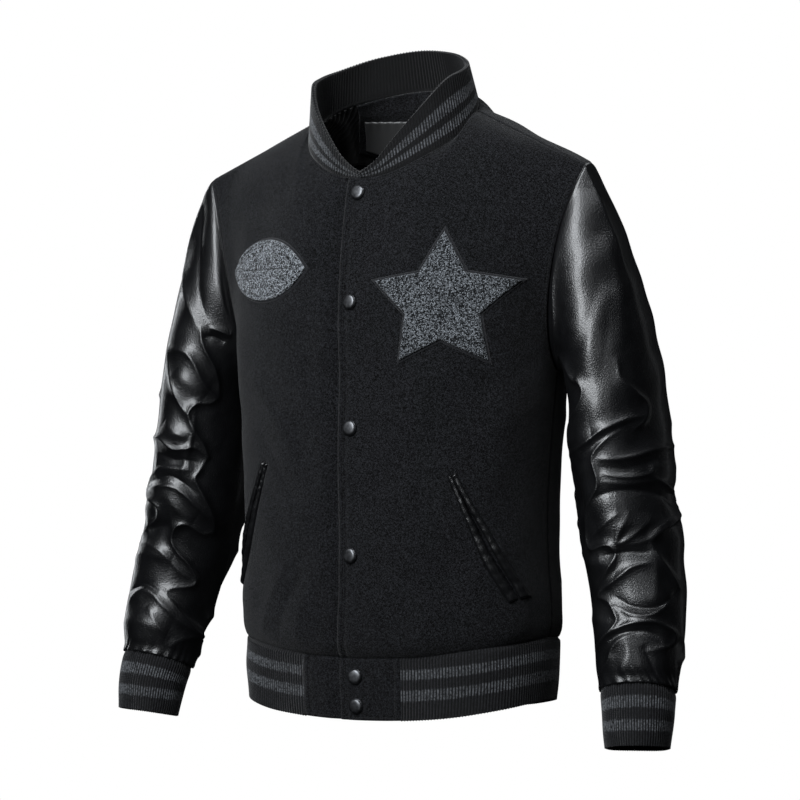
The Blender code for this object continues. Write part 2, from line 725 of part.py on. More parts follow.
def inside_grid(rows, depth):
    """Points at this depth inside the back, between a table's two edges; shares below 0 are on the
    wearer's right."""
    levels, rights, lefts = np.array(rows).T
    grid = []
    for level in np.linspace(levels[0], levels[-1], INSIDE_ROWS):
        row = []
        edges = np.interp(level, levels, rights), np.interp(level, levels, lefts)
        for share in np.linspace(*edges, INSIDE_COLUMNS):
            point = panel_point(share, level, False)
            across = panel_point(share + 0.01, level, False) - panel_point(share - 0.01, level, False)
            up = point - panel_point(share, level - 0.01, False)
            row.append(point + unit(np.cross(across, up)) * depth)
        grid.append(row)
    return np.array(grid)


def add_neck_inside():
    """The lining and the wool facing behind the neck, and the bare label sewn on the facing."""
    for name, depth, thickness, material, rows in (
        ("lining_back", LINING_DEPTH, LINING, lining, LINING_ROWS),
        ("neck_facing", FACING_DEPTH, WOOL, wool, FACING_ROWS),
        ("neck_label", LABEL_DEPTH, LINING, label, LABEL_ROWS),
    ):
        outer = inside_grid(rows, depth)
        add_wall(name, outer, inside_grid(rows, depth + thickness), material, turned=True)


# ---- Materials and scene ---------------------------------------------------------------------


def finish(name, colour, roughness, metallic=0.0):
    material = bpy.data.materials.new(name)
    material.use_nodes = True
    shader = material.node_tree.nodes["Principled BSDF"]
    shader.inputs["Base Color"].default_value = (*colour, 1)
    shader.inputs["Roughness"].default_value = roughness
    shader.inputs["Metallic"].default_value = metallic
    return material


for old in list(bpy.data.objects):
    bpy.data.objects.remove(old)
jacket = bpy.data.collections.new("varsity_jacket")
bpy.context.scene.collection.children.link(jacket)

wool = finish("wool", (0.012, 0.012, 0.013), 0.95)
leather = finish("leather", (0.010, 0.010, 0.011), 0.30)
rib = finish("rib", (0.014, 0.014, 0.015), 0.95)
felt = finish("felt", (0.020, 0.020, 0.022), 0.95)
chenille = finish("chenille", (0.13, 0.13, 0.135), 0.95)
metal = finish("metal", (0.06, 0.06, 0.065), 0.30, 1.0)
lining = finish("lining", (0.010, 0.010, 0.011), 0.35)
label = finish("label", (0.008, 0.008, 0.009), 0.40)

add_cloth(body_pieces() + hem_pieces() + [collar_piece()] + sleeve_pieces())
add_neck_inside()
add_patches()
add_pockets()
add_snaps()
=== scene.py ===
"""Looks of the varsity jacket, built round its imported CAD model. Metres, +Z up, the front faces -Y."""

import math

import bpy
import numpy as np
from mathutils.bvhtree import BVHTree
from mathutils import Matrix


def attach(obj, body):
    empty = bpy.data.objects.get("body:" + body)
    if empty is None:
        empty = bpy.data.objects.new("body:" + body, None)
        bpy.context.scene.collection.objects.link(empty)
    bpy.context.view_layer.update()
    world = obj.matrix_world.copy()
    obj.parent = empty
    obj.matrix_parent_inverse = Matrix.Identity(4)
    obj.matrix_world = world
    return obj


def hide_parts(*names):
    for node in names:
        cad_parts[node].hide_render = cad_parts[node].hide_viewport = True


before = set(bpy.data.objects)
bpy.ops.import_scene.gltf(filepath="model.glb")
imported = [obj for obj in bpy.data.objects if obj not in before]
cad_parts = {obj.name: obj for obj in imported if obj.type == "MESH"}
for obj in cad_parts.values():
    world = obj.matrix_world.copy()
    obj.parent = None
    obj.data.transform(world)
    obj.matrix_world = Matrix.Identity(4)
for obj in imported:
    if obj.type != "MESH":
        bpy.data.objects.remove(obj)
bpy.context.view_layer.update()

MM = 0.001

# ---- The CAD model's forms, repeated ---------------------------------------------------------

WOOL, LEATHER, RIB, LINING = 0.0025, 0.0018, 0.0035, 0.0010
FELT, CHENILLE = 0.0012, 0.0028
OVERLAP, HEM_OVERLAP = 0.016, 0.0205
UNDERLAP, UNDERLAP_FULL, UNDERLAP_END = 0.0038, 0.019, 0.040
CHEST = -0.305
WAIST_SEAM = (-0.625, 0.1855, -0.1000, 0.1230, 0.04)
SIDE_RISE, SIDE_RISE_FULL, SIDE_RISE_END = 0.022, -0.600, -0.430
BODY_SECTIONS = (
    WAIST_SEAM,
    (-0.615, 0.1885, -0.1050, 0.1275, 0.04),
    (-0.592, 0.1895, -0.1085, 0.1300, 0.04),
    (-0.540, 0.1865, -0.1100, 0.1305, 0.04),
    (-0.450, 0.1850, -0.1115, 0.1330, 0.04),
    (-0.370, 0.1900, -0.1120, 0.1350, 0.04),
    (CHEST, 0.1960, -0.1110, 0.1360, 0.04),
)
HEM_SECTIONS = (
    (-0.6945, 0.1830, -0.0970, 0.1190, 0.04),
    (-0.660, 0.1860, -0.0985, 0.1225, 0.04),
    WAIST_SEAM,
)
NECK_MIDDLE, NECK_HALF_WIDTH, NECK_HALF_DEPTH = -0.009, 0.101, 0.079
RIM_MIDDLE, RIM_HALF_WIDTH, RIM_HALF_DEPTH = -0.017, 0.0925, 0.075
SIDE_NECK, NECK_SHARE = 100.0, 0.42
SHOULDER_END = np.array((0.2405, -0.012, -0.078))
COLLAR_PART = 0.0008
NECK = (
    (0, -0.0890, -0.0850),
    (12, -0.0870, -0.0720),
    (26, -0.0790, -0.0460),
    (42, -0.0660, -0.0180),
    (68, -0.0440, 0.0200),
    (92, -0.0180, 0.0340),
    (113, 0.0010, 0.0440),
    (150, 0.0200, 0.0620),
    (180, 0.0260, 0.0680),
    (210, 0.0200, 0.0620),
)
FRONT_CLIMB = (
    (-0.42, -0.020, 0.36, 0.00, 0.22, 0.06),
    (0.00, -0.010, 0.22, 0.00, 0.06, 0.20),
    (0.42, -0.020, 0.36, 0.00, 0.22, 0.06),
    (0.75, -0.030, 0.30, 0.00, 0.17, 0.10),
    (1.00, -0.160, 0.12, 0.09, 0.09, 0.20),
)
BACK_CLIMB = (
    (-0.42, 0.050, 0.42, 0.00, -0.30, -0.08),
    (0.00, 0.050, 0.33, 0.00, -0.17, 0.20),
    (0.42, 0.050, 0.42, 0.00, -0.30, -0.08),
    (0.75, 0.060, 0.36, 0.01, -0.28, -0.09),
    (1.00, 0.300, 0.14, 0.03, -0.30, -0.12),
)
SLEEVE_TOP, SLEEVE_END = 0.340, 0.655
SLEEVE_SECTIONS = (
    (SLEEVE_TOP, 0.2655, 0.0230, 0.0500, 0.0740),
    (0.400, 0.2700, 0.0230, 0.0530, 0.0740),
    (0.450, 0.2755, 0.0206, 0.0550, 0.0720),
    (0.520, 0.2900, 0.0137, 0.0530, 0.0600),
    (0.565, 0.3000, 0.0025, 0.0510, 0.0530),
    (0.615, 0.3050, -0.0110, 0.0470, 0.0485),
    (0.643, 0.3070, -0.0170, 0.0440, 0.0450),
    (SLEEVE_END, 0.3085, -0.0205, 0.0405, 0.0410),
)
CUFF_SECTIONS = (
    (SLEEVE_END, 0.3085, -0.0205, 0.0405, 0.0410),
    (0.675, 0.3110, -0.0275, 0.0395, 0.0400),
    (0.716, 0.3140, -0.0345, 0.0350, 0.0350),
)
RIGHT_LIFT = 0.013
SHOULDER_TURN = 165.0
SNAP_HEIGHTS = (-0.106, -0.229, -0.369, -0.5105, -0.6455, -0.6785)
SNAP_RADIUS, SNAP_HEIGHT = 0.0088, 0.0042
POCKETS = {
    "left": ((0.1160, -0.4200), (0.1770, -0.5580)),
    "right": ((0.1200, -0.4080), (0.1780, -0.5460)),
}
LIP_HEIGHT = 0.0042
STAR_CENTRE, STAR_RADIUS, STAR_INNER = (0.107, -0.231), 0.079, 0.52
BALL_CENTRE, BALL_HALF_LENGTH, BALL_HALF_HEIGHT = (0.121, -0.190), 0.0630, 0.0350
FELT_BORDER = 0.0035


def hermite(start, leaving, end, arriving, t):
    return (
        (1 + 2 * t) * (1 - t) ** 2 * start
        + t * (1 - t) ** 2 * leaving
        + t * t * (3 - 2 * t) * end
        + t * t * (t - 1) * arriving
    )


def from_table(table, position):
    """The other columns of a table at these values of its first column."""
    rows = np.array(table, float)
    position = np.asarray(position, float)
    knots, values = rows[:, 0], rows[:, 1:]
    slopes = np.gradient(values, knots, axis=0)
    at = np.clip(np.searchsorted(knots, position) - 1, 0, len(knots) - 2)
    step = (knots[at + 1] - knots[at])[..., None]
    t = (position - knots[at])[..., None] / step
    return hermite(values[at], slopes[at] * step, values[at + 1], slopes[at + 1] * step, t)


def ease(position, full, end):
    t = np.clip((position - full) / (end - full), 0, 1)
    return 1 - t * t * (3 - 2 * t)


def bell(distance, reach):
    return np.exp(-((distance / reach) ** 2))


def unit(vectors):
    return vectors / np.maximum(np.linalg.norm(vectors, axis=-1, keepdims=True), 1e-12)


def mirrored(points):
    return points * np.array((-1, 1, 1))


def girth_points(sections, turn, height):
    half_width, front, back, square = np.moveaxis(from_table(sections, height), -1, 0)
    across = (np.sin(turn) + square * np.sin(3 * turn)) / (1 - square)
    forward = (np.cos(turn) - square * np.cos(3 * turn)) / (1 - square)
    rise = SIDE_RISE * np.sin(turn) ** 2 * ease(height, SIDE_RISE_FULL, SIDE_RISE_END)
    y = (front + back) / 2 - (back - front) / 2 * forward
    return np.stack((half_width * across, y, height + rise), axis=-1)


def neck_points(degrees, rim=0.0):
    degrees = np.asarray(degrees, float)
    turn = np.radians(degrees)
    seam_height, rim_height = np.moveaxis(from_table(NECK, degrees), -1, 0)
    middle = NECK_MIDDLE + (RIM_MIDDLE - NECK_MIDDLE) * rim
    half_width = NECK_HALF_WIDTH + (RIM_HALF_WIDTH - NECK_HALF_WIDTH) * rim
    half_depth = NECK_HALF_DEPTH + (RIM_HALF_DEPTH - NECK_HALF_DEPTH) * rim
    height = seam_height + (rim_height - seam_height) * rim
    return np.stack((half_width * np.sin(turn), middle - half_depth * np.cos(turn), height), axis=-1)


def neck_degrees(share, is_front):
    if is_front:
        return SIDE_NECK * share / NECK_SHARE
    return 180 - (180 - SIDE_NECK) * share / NECK_SHARE


def top_points(share, is_front):
    neck = neck_points(neck_degrees(np.minimum(share, NECK_SHARE), is_front))
    along = ((share - NECK_SHARE) / (1 - NECK_SHARE))[..., None]
    shoulder = neck_points(SIDE_NECK) * (1 - along) + SHOULDER_END * along
    return np.where(share[..., None] <= NECK_SHARE, neck, shoulder)


def panel_points(share, level, is_front):
    """Points of the wearer's left half of the front or back; shares below 0 are on the other half."""
    share, level = np.broadcast_arrays(np.asarray(share, float), np.asarray(level, float))
    side = np.where(share < 0, -1.0, 1.0)
    share = np.abs(share)
    turn = share * math.pi / 2 if is_front else math.pi - share * math.pi / 2
    low = girth_points(BODY_SECTIONS, turn, CHEST + np.minimum(level, 0))
    climb = from_table(FRONT_CLIMB if is_front else BACK_CLIMB, share)
    leaving = np.stack((np.zeros_like(share), climb[..., 0], climb[..., 1]), axis=-1)
    start = girth_points(BODY_SECTIONS, turn, np.full_like(share, CHEST))
    t = np.clip(level, 0, 1)[..., None]
    high = hermite(start, leaving, top_points(share, is_front), climb[..., 2:], t)
    points = np.where(level[..., None] <= 0, low, high)
    points[..., 0] *= side
    return points


def arm_axis(sections, drop):
    centre, ahead, behind = (
        np.concatenate((from_table(sections, at)[..., :2], -np.asarray(at)[..., None]), axis=-1)
        for at in (drop, drop + 0.004, drop - 0.004)
    )
    along = unit(ahead - behind)
    outward = unit(np.cross(along, (0, 1, 0)))
    outward = outward * np.sign(outward[..., :1])
    forward = unit(np.cross(outward, along))
    return centre, outward, forward * -np.sign(forward[..., 1:2])


def arm_points(sections, degrees, drop):
    """Points of a sleeve or cuff: one row for each drop, one column for each of the degrees."""
    half_width, half_depth = np.moveaxis(from_table(sections, drop)[..., 2:], -1, 0)
    centre, outward, forward = arm_axis(sections, np.asarray(drop, float))
    turn = np.radians(degrees)[None, :, None]
    return (
        centre[:, None]
        + forward[:, None] * half_depth[:, None, None] * np.sin(turn)
        - outward[:, None] * half_width[:, None, None] * np.cos(turn)
    )


def overlap_share(level):
    """The share at which a front's row ends past the centre."""
    step = 0.02
    widening = ease(CHEST + level, WAIST_SEAM[0], BODY_SECTIONS[3][0])
    overlap = OVERLAP + (HEM_OVERLAP - OVERLAP) * widening
    return -overlap * step / panel_points(step, level, True)[..., 0]


def underlap(points):
    """Sets the wearer's right front back where the left one covers it."""
    depth = UNDERLAP * ease(-points[..., 0], UNDERLAP_FULL, UNDERLAP_END)
    return points + depth[..., None] * np.array((0, 1, 0))


def lifted(grid):
    lift = RIGHT_LIFT * (1 - ease(-grid[..., 2], SLEEVE_TOP, SLEEVE_END))
    return grid + lift[..., None] * np.array((0, 0, 1))


# ---- The camera's view -----------------------------------------------------------------------

VIEW_TURN, VIEW_DISTANCE, VIEW_HEIGHT = math.radians(28), 3.5, -0.371
PICTURE, PIXELS_PER_METRE, AIM_PIXEL = 800, 876, (397, 430)
CAMERA = np.array((VIEW_DISTANCE * math.sin(VIEW_TURN), -VIEW_DISTANCE * math.cos(VIEW_TURN), VIEW_HEIGHT))


def in_picture(points):
    """Where points appear in the picture, in its pixels."""
    x, y, z = np.moveaxis(points, -1, 0)
    away = VIEW_DISTANCE - x * math.sin(VIEW_TURN) + y * math.cos(VIEW_TURN)
    scale = PIXELS_PER_METRE * VIEW_DISTANCE / away
    right = (x * math.cos(VIEW_TURN) + y * math.sin(VIEW_TURN)) * scale
    return np.stack((right, (VIEW_HEIGHT - z) * scale), axis=-1) + AIM_PIXEL


def grid_places(grid, normals, pixels, closed, reach=3.0):
    """The (column share, row share) of a grid at each of these pixels, on its side towards the camera."""
    rows, columns = grid.shape[:2]
    seen = in_picture(grid)
    hidden = ((CAMERA - grid) * normals).sum(axis=-1) < 0
    found = []
    for pixel in pixels:
        off = np.linalg.norm(seen - pixel, axis=-1) + 2 * reach * hidden
        best = np.argmin(off) % columns
        row, column = np.nonzero(off < off.min() + reach)
        weight = (off.min() + reach - off[row, column]) ** 2
        if closed:
            column = best + (column - best + columns // 2) % columns - columns // 2
        column, row = (np.average(index, weights=weight) for index in (column, row))
        if closed and found:
            column += columns * round(found[-1][0] - column / columns)
        found.append((column / (columns if closed else columns - 1), row / (rows - 1)))
    return found


def placed_folds(grid, normals, folds, closed):
    """Folds whose points are pixels, with those points as places on the grid."""
    return [(*sizes, grid_places(grid, normals, pixels, closed)) for *sizes, pixels in folds]


# ---- Grids, normals and folds ----------------------------------------------------------------


def spaced(length, step, dense_start=0.0, dense_end=0.0, fine=0.0007):
    """Shares from 0 to 1 along this length, with fine spacing near the ends that ask for it."""
    marks, at = [0.0], 0.0
    while at < length:
        near = min(
            (at - dense_start) if dense_start else math.inf,
            (length - at - dense_end) if dense_end else math.inf,
        )
        at += fine + (step - fine) * min(1.0, max(0.0, near / (3 * step)))
        marks.append(at)
    marks = np.array(marks)
    if len(marks) % 2 == 0:
        marks = np.append(marks, marks[-1] + fine)
    return marks / marks[-1]


def smooth_rows(grid, weight, times):
    """Moves a grid's rows, in place, towards the middle of the rows beside them."""
    for _ in range(times):
        grid[1:-1] += ((grid[2:] + grid[:-2]) / 2 - grid[1:-1]) * weight[1:-1]


def grid_normals(grid, closed=False):
    up = np.gradient(grid, axis=0)
    if closed:
        along = np.roll(grid, -1, 1) - np.roll(grid, 1, 1)
    else:
        along = np.gradient(grid, axis=1)
    return unit(np.cross(along, up))


def lengths_along(grid, axis):
    """Distance of each point from the first one of its row or column, along the grid."""
    steps = np.linalg.norm(np.diff(grid, axis=axis), axis=-1)
    zero = np.zeros_like(np.take(steps, [0], axis=axis))
    return np.cumsum(np.concatenate((zero, steps), axis=axis), axis=axis)


def edge_distances(grid):
    """Distances of each point from the grid's first row, last row, first column and last column."""
    down, across = lengths_along(grid, 0), lengths_along(grid, 1)
    return down, down[-1:] - down, across, across[:, -1:] - across


def at_places(grid, places, closed):
    """Points of a grid at these (share of the columns, share of the rows), by blending its corners."""
    rows, columns = grid.shape[:2]
    places = np.asarray(places, float)
    x = places[:, 0] * (columns if closed else columns - 1)
    y = np.clip(places[:, 1], 0, 1) * (rows - 1)
    left, low = np.floor(x).astype(int), np.minimum(np.floor(y).astype(int), rows - 2)
    fx, fy = (x - left)[:, None], (y - low)[:, None]
    if closed:
        left, right = left % columns, (left + 1) % columns
    else:
        left = np.clip(left, 0, columns - 2)
        right = left + 1
    lower = grid[low, left] * (1 - fx) + grid[low, right] * fx
    upper = grid[low + 1, left] * (1 - fx) + grid[low + 1, right] * fx
    return lower * (1 - fy) + upper * fy


def curve_through(points, count):
    """Count points on a smooth curve through these ones."""
    points = np.asarray(points, float)
    knots = np.arange(len(points), dtype=float)
    at = np.linspace(0, len(points) - 1, count)
    if len(points) < 3:
        return np.stack([np.interp(at, knots, column) for column in points.T], axis=1)
    return from_table(np.column_stack((knots, points)), at)


def line_distance(grid, normals, line, reach):
    """For points near the line: their index, distance to its left (+) or right (-), and place along it."""
    flat, up = grid.reshape(-1, 3), normals.reshape(-1, 3)
    low, high = line.min(0) - reach, line.max(0) + reach
    index = np.flatnonzero(np.all((flat > low) & (flat < high), axis=1))
    points, up = flat[index], up[index]
    best = np.full(len(index), np.inf)
    signed, along = np.zeros(len(index)), np.zeros(len(index))
    lengths = np.linalg.norm(np.diff(line, axis=0), axis=1)
    starts = np.concatenate(([0], np.cumsum(lengths)))
    for number, (start, run, length) in enumerate(zip(line[:-1], np.diff(line, axis=0), lengths)):
        t = np.clip((points - start) @ run / max(length**2, 1e-12), 0, 1)
        away = points - start - t[:, None] * run
        distance = np.linalg.norm(away, axis=1)
        near = distance < best
        side = np.einsum("ij,ij->i", away, np.cross(up, run / max(length, 1e-9)))
        best[near] = distance[near]
        signed[near] = (np.sign(side) * distance)[near]
        along[near] = ((starts[number] + t * length) / starts[-1])[near]
    return index, signed, along


def fold_heights(grid, normals, folds, closed):
    """Heights that folds give a grid. A fold: its height, its breadth to the left, its breadth to the right
    and how round its crest is, in millimetres, and its (column share, row share) points. A negative height
    is a trough."""
    heights = np.zeros(grid.shape[0] * grid.shape[1])
    for *sizes, places in folds:
        height, left, right, crest = np.array(sizes) * MM
        line = at_places(grid, curve_through(places, 6 * len(places)), closed)
        index, signed, along = line_distance(grid, normals, line, 3.2 * max(left, right))
        breadth = np.where(signed > 0, left, right)
        away = np.sqrt(signed**2 + crest**2) - crest
        shape = 0.6 * np.exp(-away / (0.5 * breadth)) + 0.4 * bell(away, 1.8 * breadth)
        taper = 1 - np.abs(2 * along - 1) ** 3
        heights[index] += height * shape * taper
    return heights.reshape(grid.shape[:2])


def waves(grid, seed, wavelength, count=9):
    """Smooth random heights of about unit size, from waves that cross the piece in all directions."""
    rng = np.random.default_rng(seed)
    total = np.zeros(grid.shape[:2])
    for _ in range(count):
        direction = unit(rng.normal(size=3)) * 2 * math.pi / (wavelength * rng.uniform(0.7, 1.5))
        total += np.sin(grid @ direction + rng.uniform(0, 2 * math.pi))
    return total / math.sqrt(count / 2)


def gathers(across, seed, pitch):
    """Uneven pleats across a gathered cloth, as heights from -1 to 1."""
    rng = np.random.default_rng(seed)
    drift = sum(np.sin(across * rng.uniform(20, 90) + rng.uniform(0, 6)) for _ in range(4))
    return np.sin(2 * math.pi * across / pitch + 1.3 * drift)


TOPSTITCH, FRONT_STITCH, TAB_STITCH, TAB_HEM_STITCH = 0.006, 0.0095, 0.0085, 0.0045  # distances from an edge


def seam_dip(distance, depth=0.0011, reach=0.0022):
    return -depth * bell(distance, reach)


def stitch_groove(distance, at=TOPSTITCH, depth=0.00045, reach=0.0013):
    return -depth * bell(distance - at, reach)


def rolled(distance, radius):
    """How far a free edge is turned down within this radius of it."""
    left = np.clip(radius - distance, 0, radius)
    return -(radius - np.sqrt(radius**2 - left**2))


# ---- Pieces ------------------------------------------------------------------------------------

PIECES = {}


def mesh_piece(name, points, faces, material, uv=None, sharp=None):
    mesh = bpy.data.meshes.new(name)
    mesh.from_pydata(np.asarray(points).tolist(), [], faces)
    if uv is not None:
        layer = mesh.uv_layers.new(name="Fabric")
        corners = np.zeros(len(mesh.loops), int)
        mesh.loops.foreach_get("vertex_index", corners)
        layer.uv.foreach_set("vector", np.asarray(uv, np.float32)[corners].ravel())
    mesh.shade_smooth()
    if sharp:
        mesh.set_sharp_from_angle(angle=math.radians(sharp))
    mesh.materials.append(material)
    piece = bpy.data.objects.new(name, mesh)
    bpy.context.scene.collection.objects.link(piece)
    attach(piece, "root")
    PIECES[name] = piece


def quads(rows, columns, closed, start=0):
    wide = columns if closed else columns - 1
    row, column = np.meshgrid(np.arange(rows - 1), np.arange(wide), indexing="ij")
    after = (column + 1) % columns
    faces = np.stack((row * columns + column, row * columns + after,
                      (row + 1) * columns + after, (row + 1) * columns + column), axis=-1)
    return faces.reshape(-1, 4) + start


def border(rows, columns, closed):
    """Lists of the indices along each border of a grid, each with the piece on its left."""
    index = np.arange(rows * columns).reshape(rows, columns)
    if closed:
        return [np.append(index[0], index[0, 0]), np.append(index[-1], index[-1, 0])[::-1]]
    return [np.concatenate((index[0], index[1:, -1], index[-1, -2::-1], index[-2::-1, 0]))]


def shell(name, outer, inner, material, closed=False, flip=False, coarser=2):
    """A closed cloth wall: an outer grid, an inner grid that is this many times coarser, and the edges
    between them."""
    rows, columns = outer.shape[:2]
    inner = inner[::coarser, ::coarser]
    start = rows * columns
    low_rows, low_columns = inner.shape[:2]
    faces = quads(rows, columns, closed).tolist()
    faces += quads(low_rows, low_columns, closed, start)[:, ::-1].tolist()
    for fine, coarse in zip(border(rows, columns, closed), border(low_rows, low_columns, closed)):
        coarse = coarse + start
        for step in range(len(coarse) - 1):
            run = fine[coarser * step:coarser * (step + 1) + 1]
            here, there = coarse[step], coarse[step + 1]
            half = coarser // 2
            faces += [(run[at + 1], run[at], here) for at in range(half)]
            faces.append((run[half], here, there))
            faces += [(run[at + 1], run[at], there) for at in range(half, coarser)]
    if flip:
        faces = [face[::-1] for face in faces]
    points = np.concatenate((outer.reshape(-1, 3), inner.reshape(-1, 3)))
    mesh_piece(name, points, faces, material)


def outward(grid, closed=False, centre=None):
    """Normals that point out of the jacket, and whether the grid's faces have to be turned for it."""
    normals = grid_normals(grid, closed)
    if centre is None:
        centre = grid.mean(axis=1, keepdims=True) if closed else np.array((0, 0.0125, 0)) + grid * (0, 0, 1)
    flip = (normals * (grid - centre)).sum() < 0
    return (-normals if flip else normals), flip


def ring_piece(name, profile, material, closed, uv, flip):
    """A band whose rows close into a ring: its outside, its rolled edge and its inside. Its two ends are
    capped unless it closes round."""
    rows, columns = profile.shape[:2]
    row, column = np.meshgrid(np.arange(rows), np.arange(columns if closed else columns - 1), indexing="ij")
    after, above = (column + 1) % columns, (row + 1) % rows
    faces = np.stack((row * columns + column, row * columns + after,
                      above * columns + after, above * columns + column), axis=-1).reshape(-1, 4).tolist()
    if not closed:
        ends = np.arange(rows) * columns
        faces += [ends.tolist(), (ends + columns - 1)[::-1].tolist()]
    if flip:
        faces = [face[::-1] for face in faces]
    mesh_piece(name, profile.reshape(-1, 3), faces, material, uv.reshape(-1, 2))


SEWN_SHARE = 0.04
UNDER_SHARES = (-0.09, -0.045)


def under_panel(shares):
    """A rib band's shares of its height with rows before them, which lie under what it is sewn to."""
    return np.concatenate((UNDER_SHARES, shares))


def tucked(shares, depth):
    """How far a rib band's rows are set in under what it is sewn to."""
    return -depth * np.clip(-shares / -UNDER_SHARES[1], 0, 1)[:, None]


def rib_band(name, outer, height_share, ribs, thickness, material, closed=False, centre=None, depth=0.0007):
    """A rib-knit band. Rows of outer run from its sewn edge to its folded edge; ribs gives each column's
    place in ribs. The fold rolls over to an inner layer."""
    normals, flip = outward(outer, closed, centre)
    over = unit(outer[-1] - outer[-2])
    radius = thickness / 2
    middle = outer[-1] - normals[-1] * radius - over * radius
    turns = np.linspace(0, math.pi, 7)[1:-1, None, None]
    roll = middle + radius * (normals[-1] * np.cos(turns) + over * np.sin(turns))
    roll_out = np.broadcast_to(normals[-1] * np.cos(turns) + over * np.sin(turns), roll.shape)
    inner = (outer - normals * thickness)[::-2]
    profile = np.concatenate((outer, roll, inner))
    out = np.concatenate((normals, roll_out, -normals[::-2]))
    ridge = np.cos(2 * math.pi * ribs) + 0.25 * np.cos(4 * math.pi * ribs)
    height_share = np.asarray(height_share)
    sewn = np.clip(height_share / SEWN_SHARE, 0, 1)
    full = np.concatenate((sewn, np.ones(len(roll)), sewn[::-2]))[:, None, None]
    profile = profile + out * full * (depth * ridge)[None, :, None]
    # The inner layer's share of 1.1 marks where the knit materials paint shade.
    shares = np.concatenate((height_share, np.full(len(roll), 1.05), np.full(len(inner), 1.1)))
    uv = np.stack(np.broadcast_arrays(ribs[None, :] * 0.1, shares[:, None]), axis=-1)
    ring_piece(name, profile, material, closed, uv, flip)


# ---- Materials -----------------------------------------------------------------------------------


class Shader:
    """A Principled material and short ways to add nodes to it."""

    def __init__(self, name, **values):
        self.material = bpy.data.materials.new(name)
        self.material.use_nodes = True
        self.tree = self.material.node_tree
        self.surface = self.tree.nodes["Principled BSDF"]
        for socket, value in values.items():
            self.surface.inputs[socket.replace("_", " ")].default_value = value

    def add(self, kind, inputs=(), **settings):
        node = self.tree.nodes.new("ShaderNode" + kind)
        for key, value in settings.items():
            setattr(node, key, value)
        for socket, value in dict(inputs).items():
            self.join(value, node.inputs[socket])
        return node

    def join(self, value, socket):
        if hasattr(value, "is_output"):
            self.tree.links.new(value, socket)
        else:
            socket.default_value = value

    def math(self, operation, first, second=0.0, third=0.0, clamp=False):
        node = self.add("Math", {0: first, 1: second, 2: third}, operation=operation, use_clamp=clamp)
        return node.outputs[0]

    def noise(self, vector, scale, detail=2.0, roughness=0.5, distortion=0.0):
        sockets = {"Vector": vector, "Scale": scale, "Detail": detail, "Roughness": roughness,
                   "Distortion": distortion}
        return self.add("TexNoise", sockets).outputs["Fac"]

    def cells(self, vector, scale, feature="F1", output="Distance"):
        return self.add("TexVoronoi", {"Vector": vector, "Scale": scale}, feature=feature).outputs[output]

    def ramp(self, value, low, high, start=0.0, end=1.0):
        sockets = {"Value": value, "From Min": low, "From Max": high, "To Min": start, "To Max": end}
        return self.add("MapRange", sockets, clamp=True).outputs[0]

    def mix(self, share, first, second):
        node = self.add("Mix", data_type="RGBA")
        self.join(share, node.inputs[0])
        for socket, value in zip(node.inputs[6:8], (first, second)):
            self.join(value if hasattr(value, "is_output") else (*value, 1), socket)
        return node.outputs[2]

    def bump(self, height, distance, strength=1.0, under=None):
        sockets = {"Height": height, "Distance": distance, "Strength": strength}
        node = self.add("Bump", sockets)
        if under is not None:
            self.tree.links.new(under, node.inputs["Normal"])
        return node.outputs[0]

    def place(self):
        return self.add("TexCoord").outputs["Object"]

    def set(self, **sockets):
        for socket, value in sockets.items():
            self.join(value, self.surface.inputs[socket.replace("_", " ")])
        return self.material


def wool_material():
    s = Shader("wool", Roughness=0.95, Sheen_Weight=0.10, Sheen_Roughness=0.45, Specular_IOR_Level=0.12)
    place = s.place()
    fuzz = s.noise(place, 1000, 3, 0.75)
    fibres = s.noise(place, 560, 3, 0.7, 1.0)
    tone = s.math("MULTIPLY_ADD", fuzz, 0.45, s.math("MULTIPLY", fibres, 0.55))
    colour = s.mix(s.ramp(tone, 0.46, 0.58), (0.0, 0.0, 0.0), (0.0235, 0.0245, 0.0280))
    normal = s.bump(fibres, 0.0008, 0.5, s.bump(fuzz, 0.0009, 0.9))
    return s.set(Base_Color=colour, Normal=normal)


def leather_material():
    s = Shader("leather", Specular_IOR_Level=0.7, Coat_Weight=0.25, Coat_Roughness=0.16)
    place = s.place()
    grain = s.cells(place, 780, "SMOOTH_F1")
    fine = s.noise(place, 1300, 2)
    worn = s.noise(place, 40, 3)
    colour = s.mix(s.ramp(worn, 0.35, 0.7), (0.0028, 0.0029, 0.0034), (0.0060, 0.0062, 0.0070))
    roughness = s.ramp(s.noise(place, 95, 3), 0.3, 0.7, 0.30, 0.37)
    normal = s.bump(grain, 0.0004, 0.8, s.bump(fine, 0.0002, 0.5))
    return s.set(Base_Color=colour, Roughness=roughness, Normal=normal)


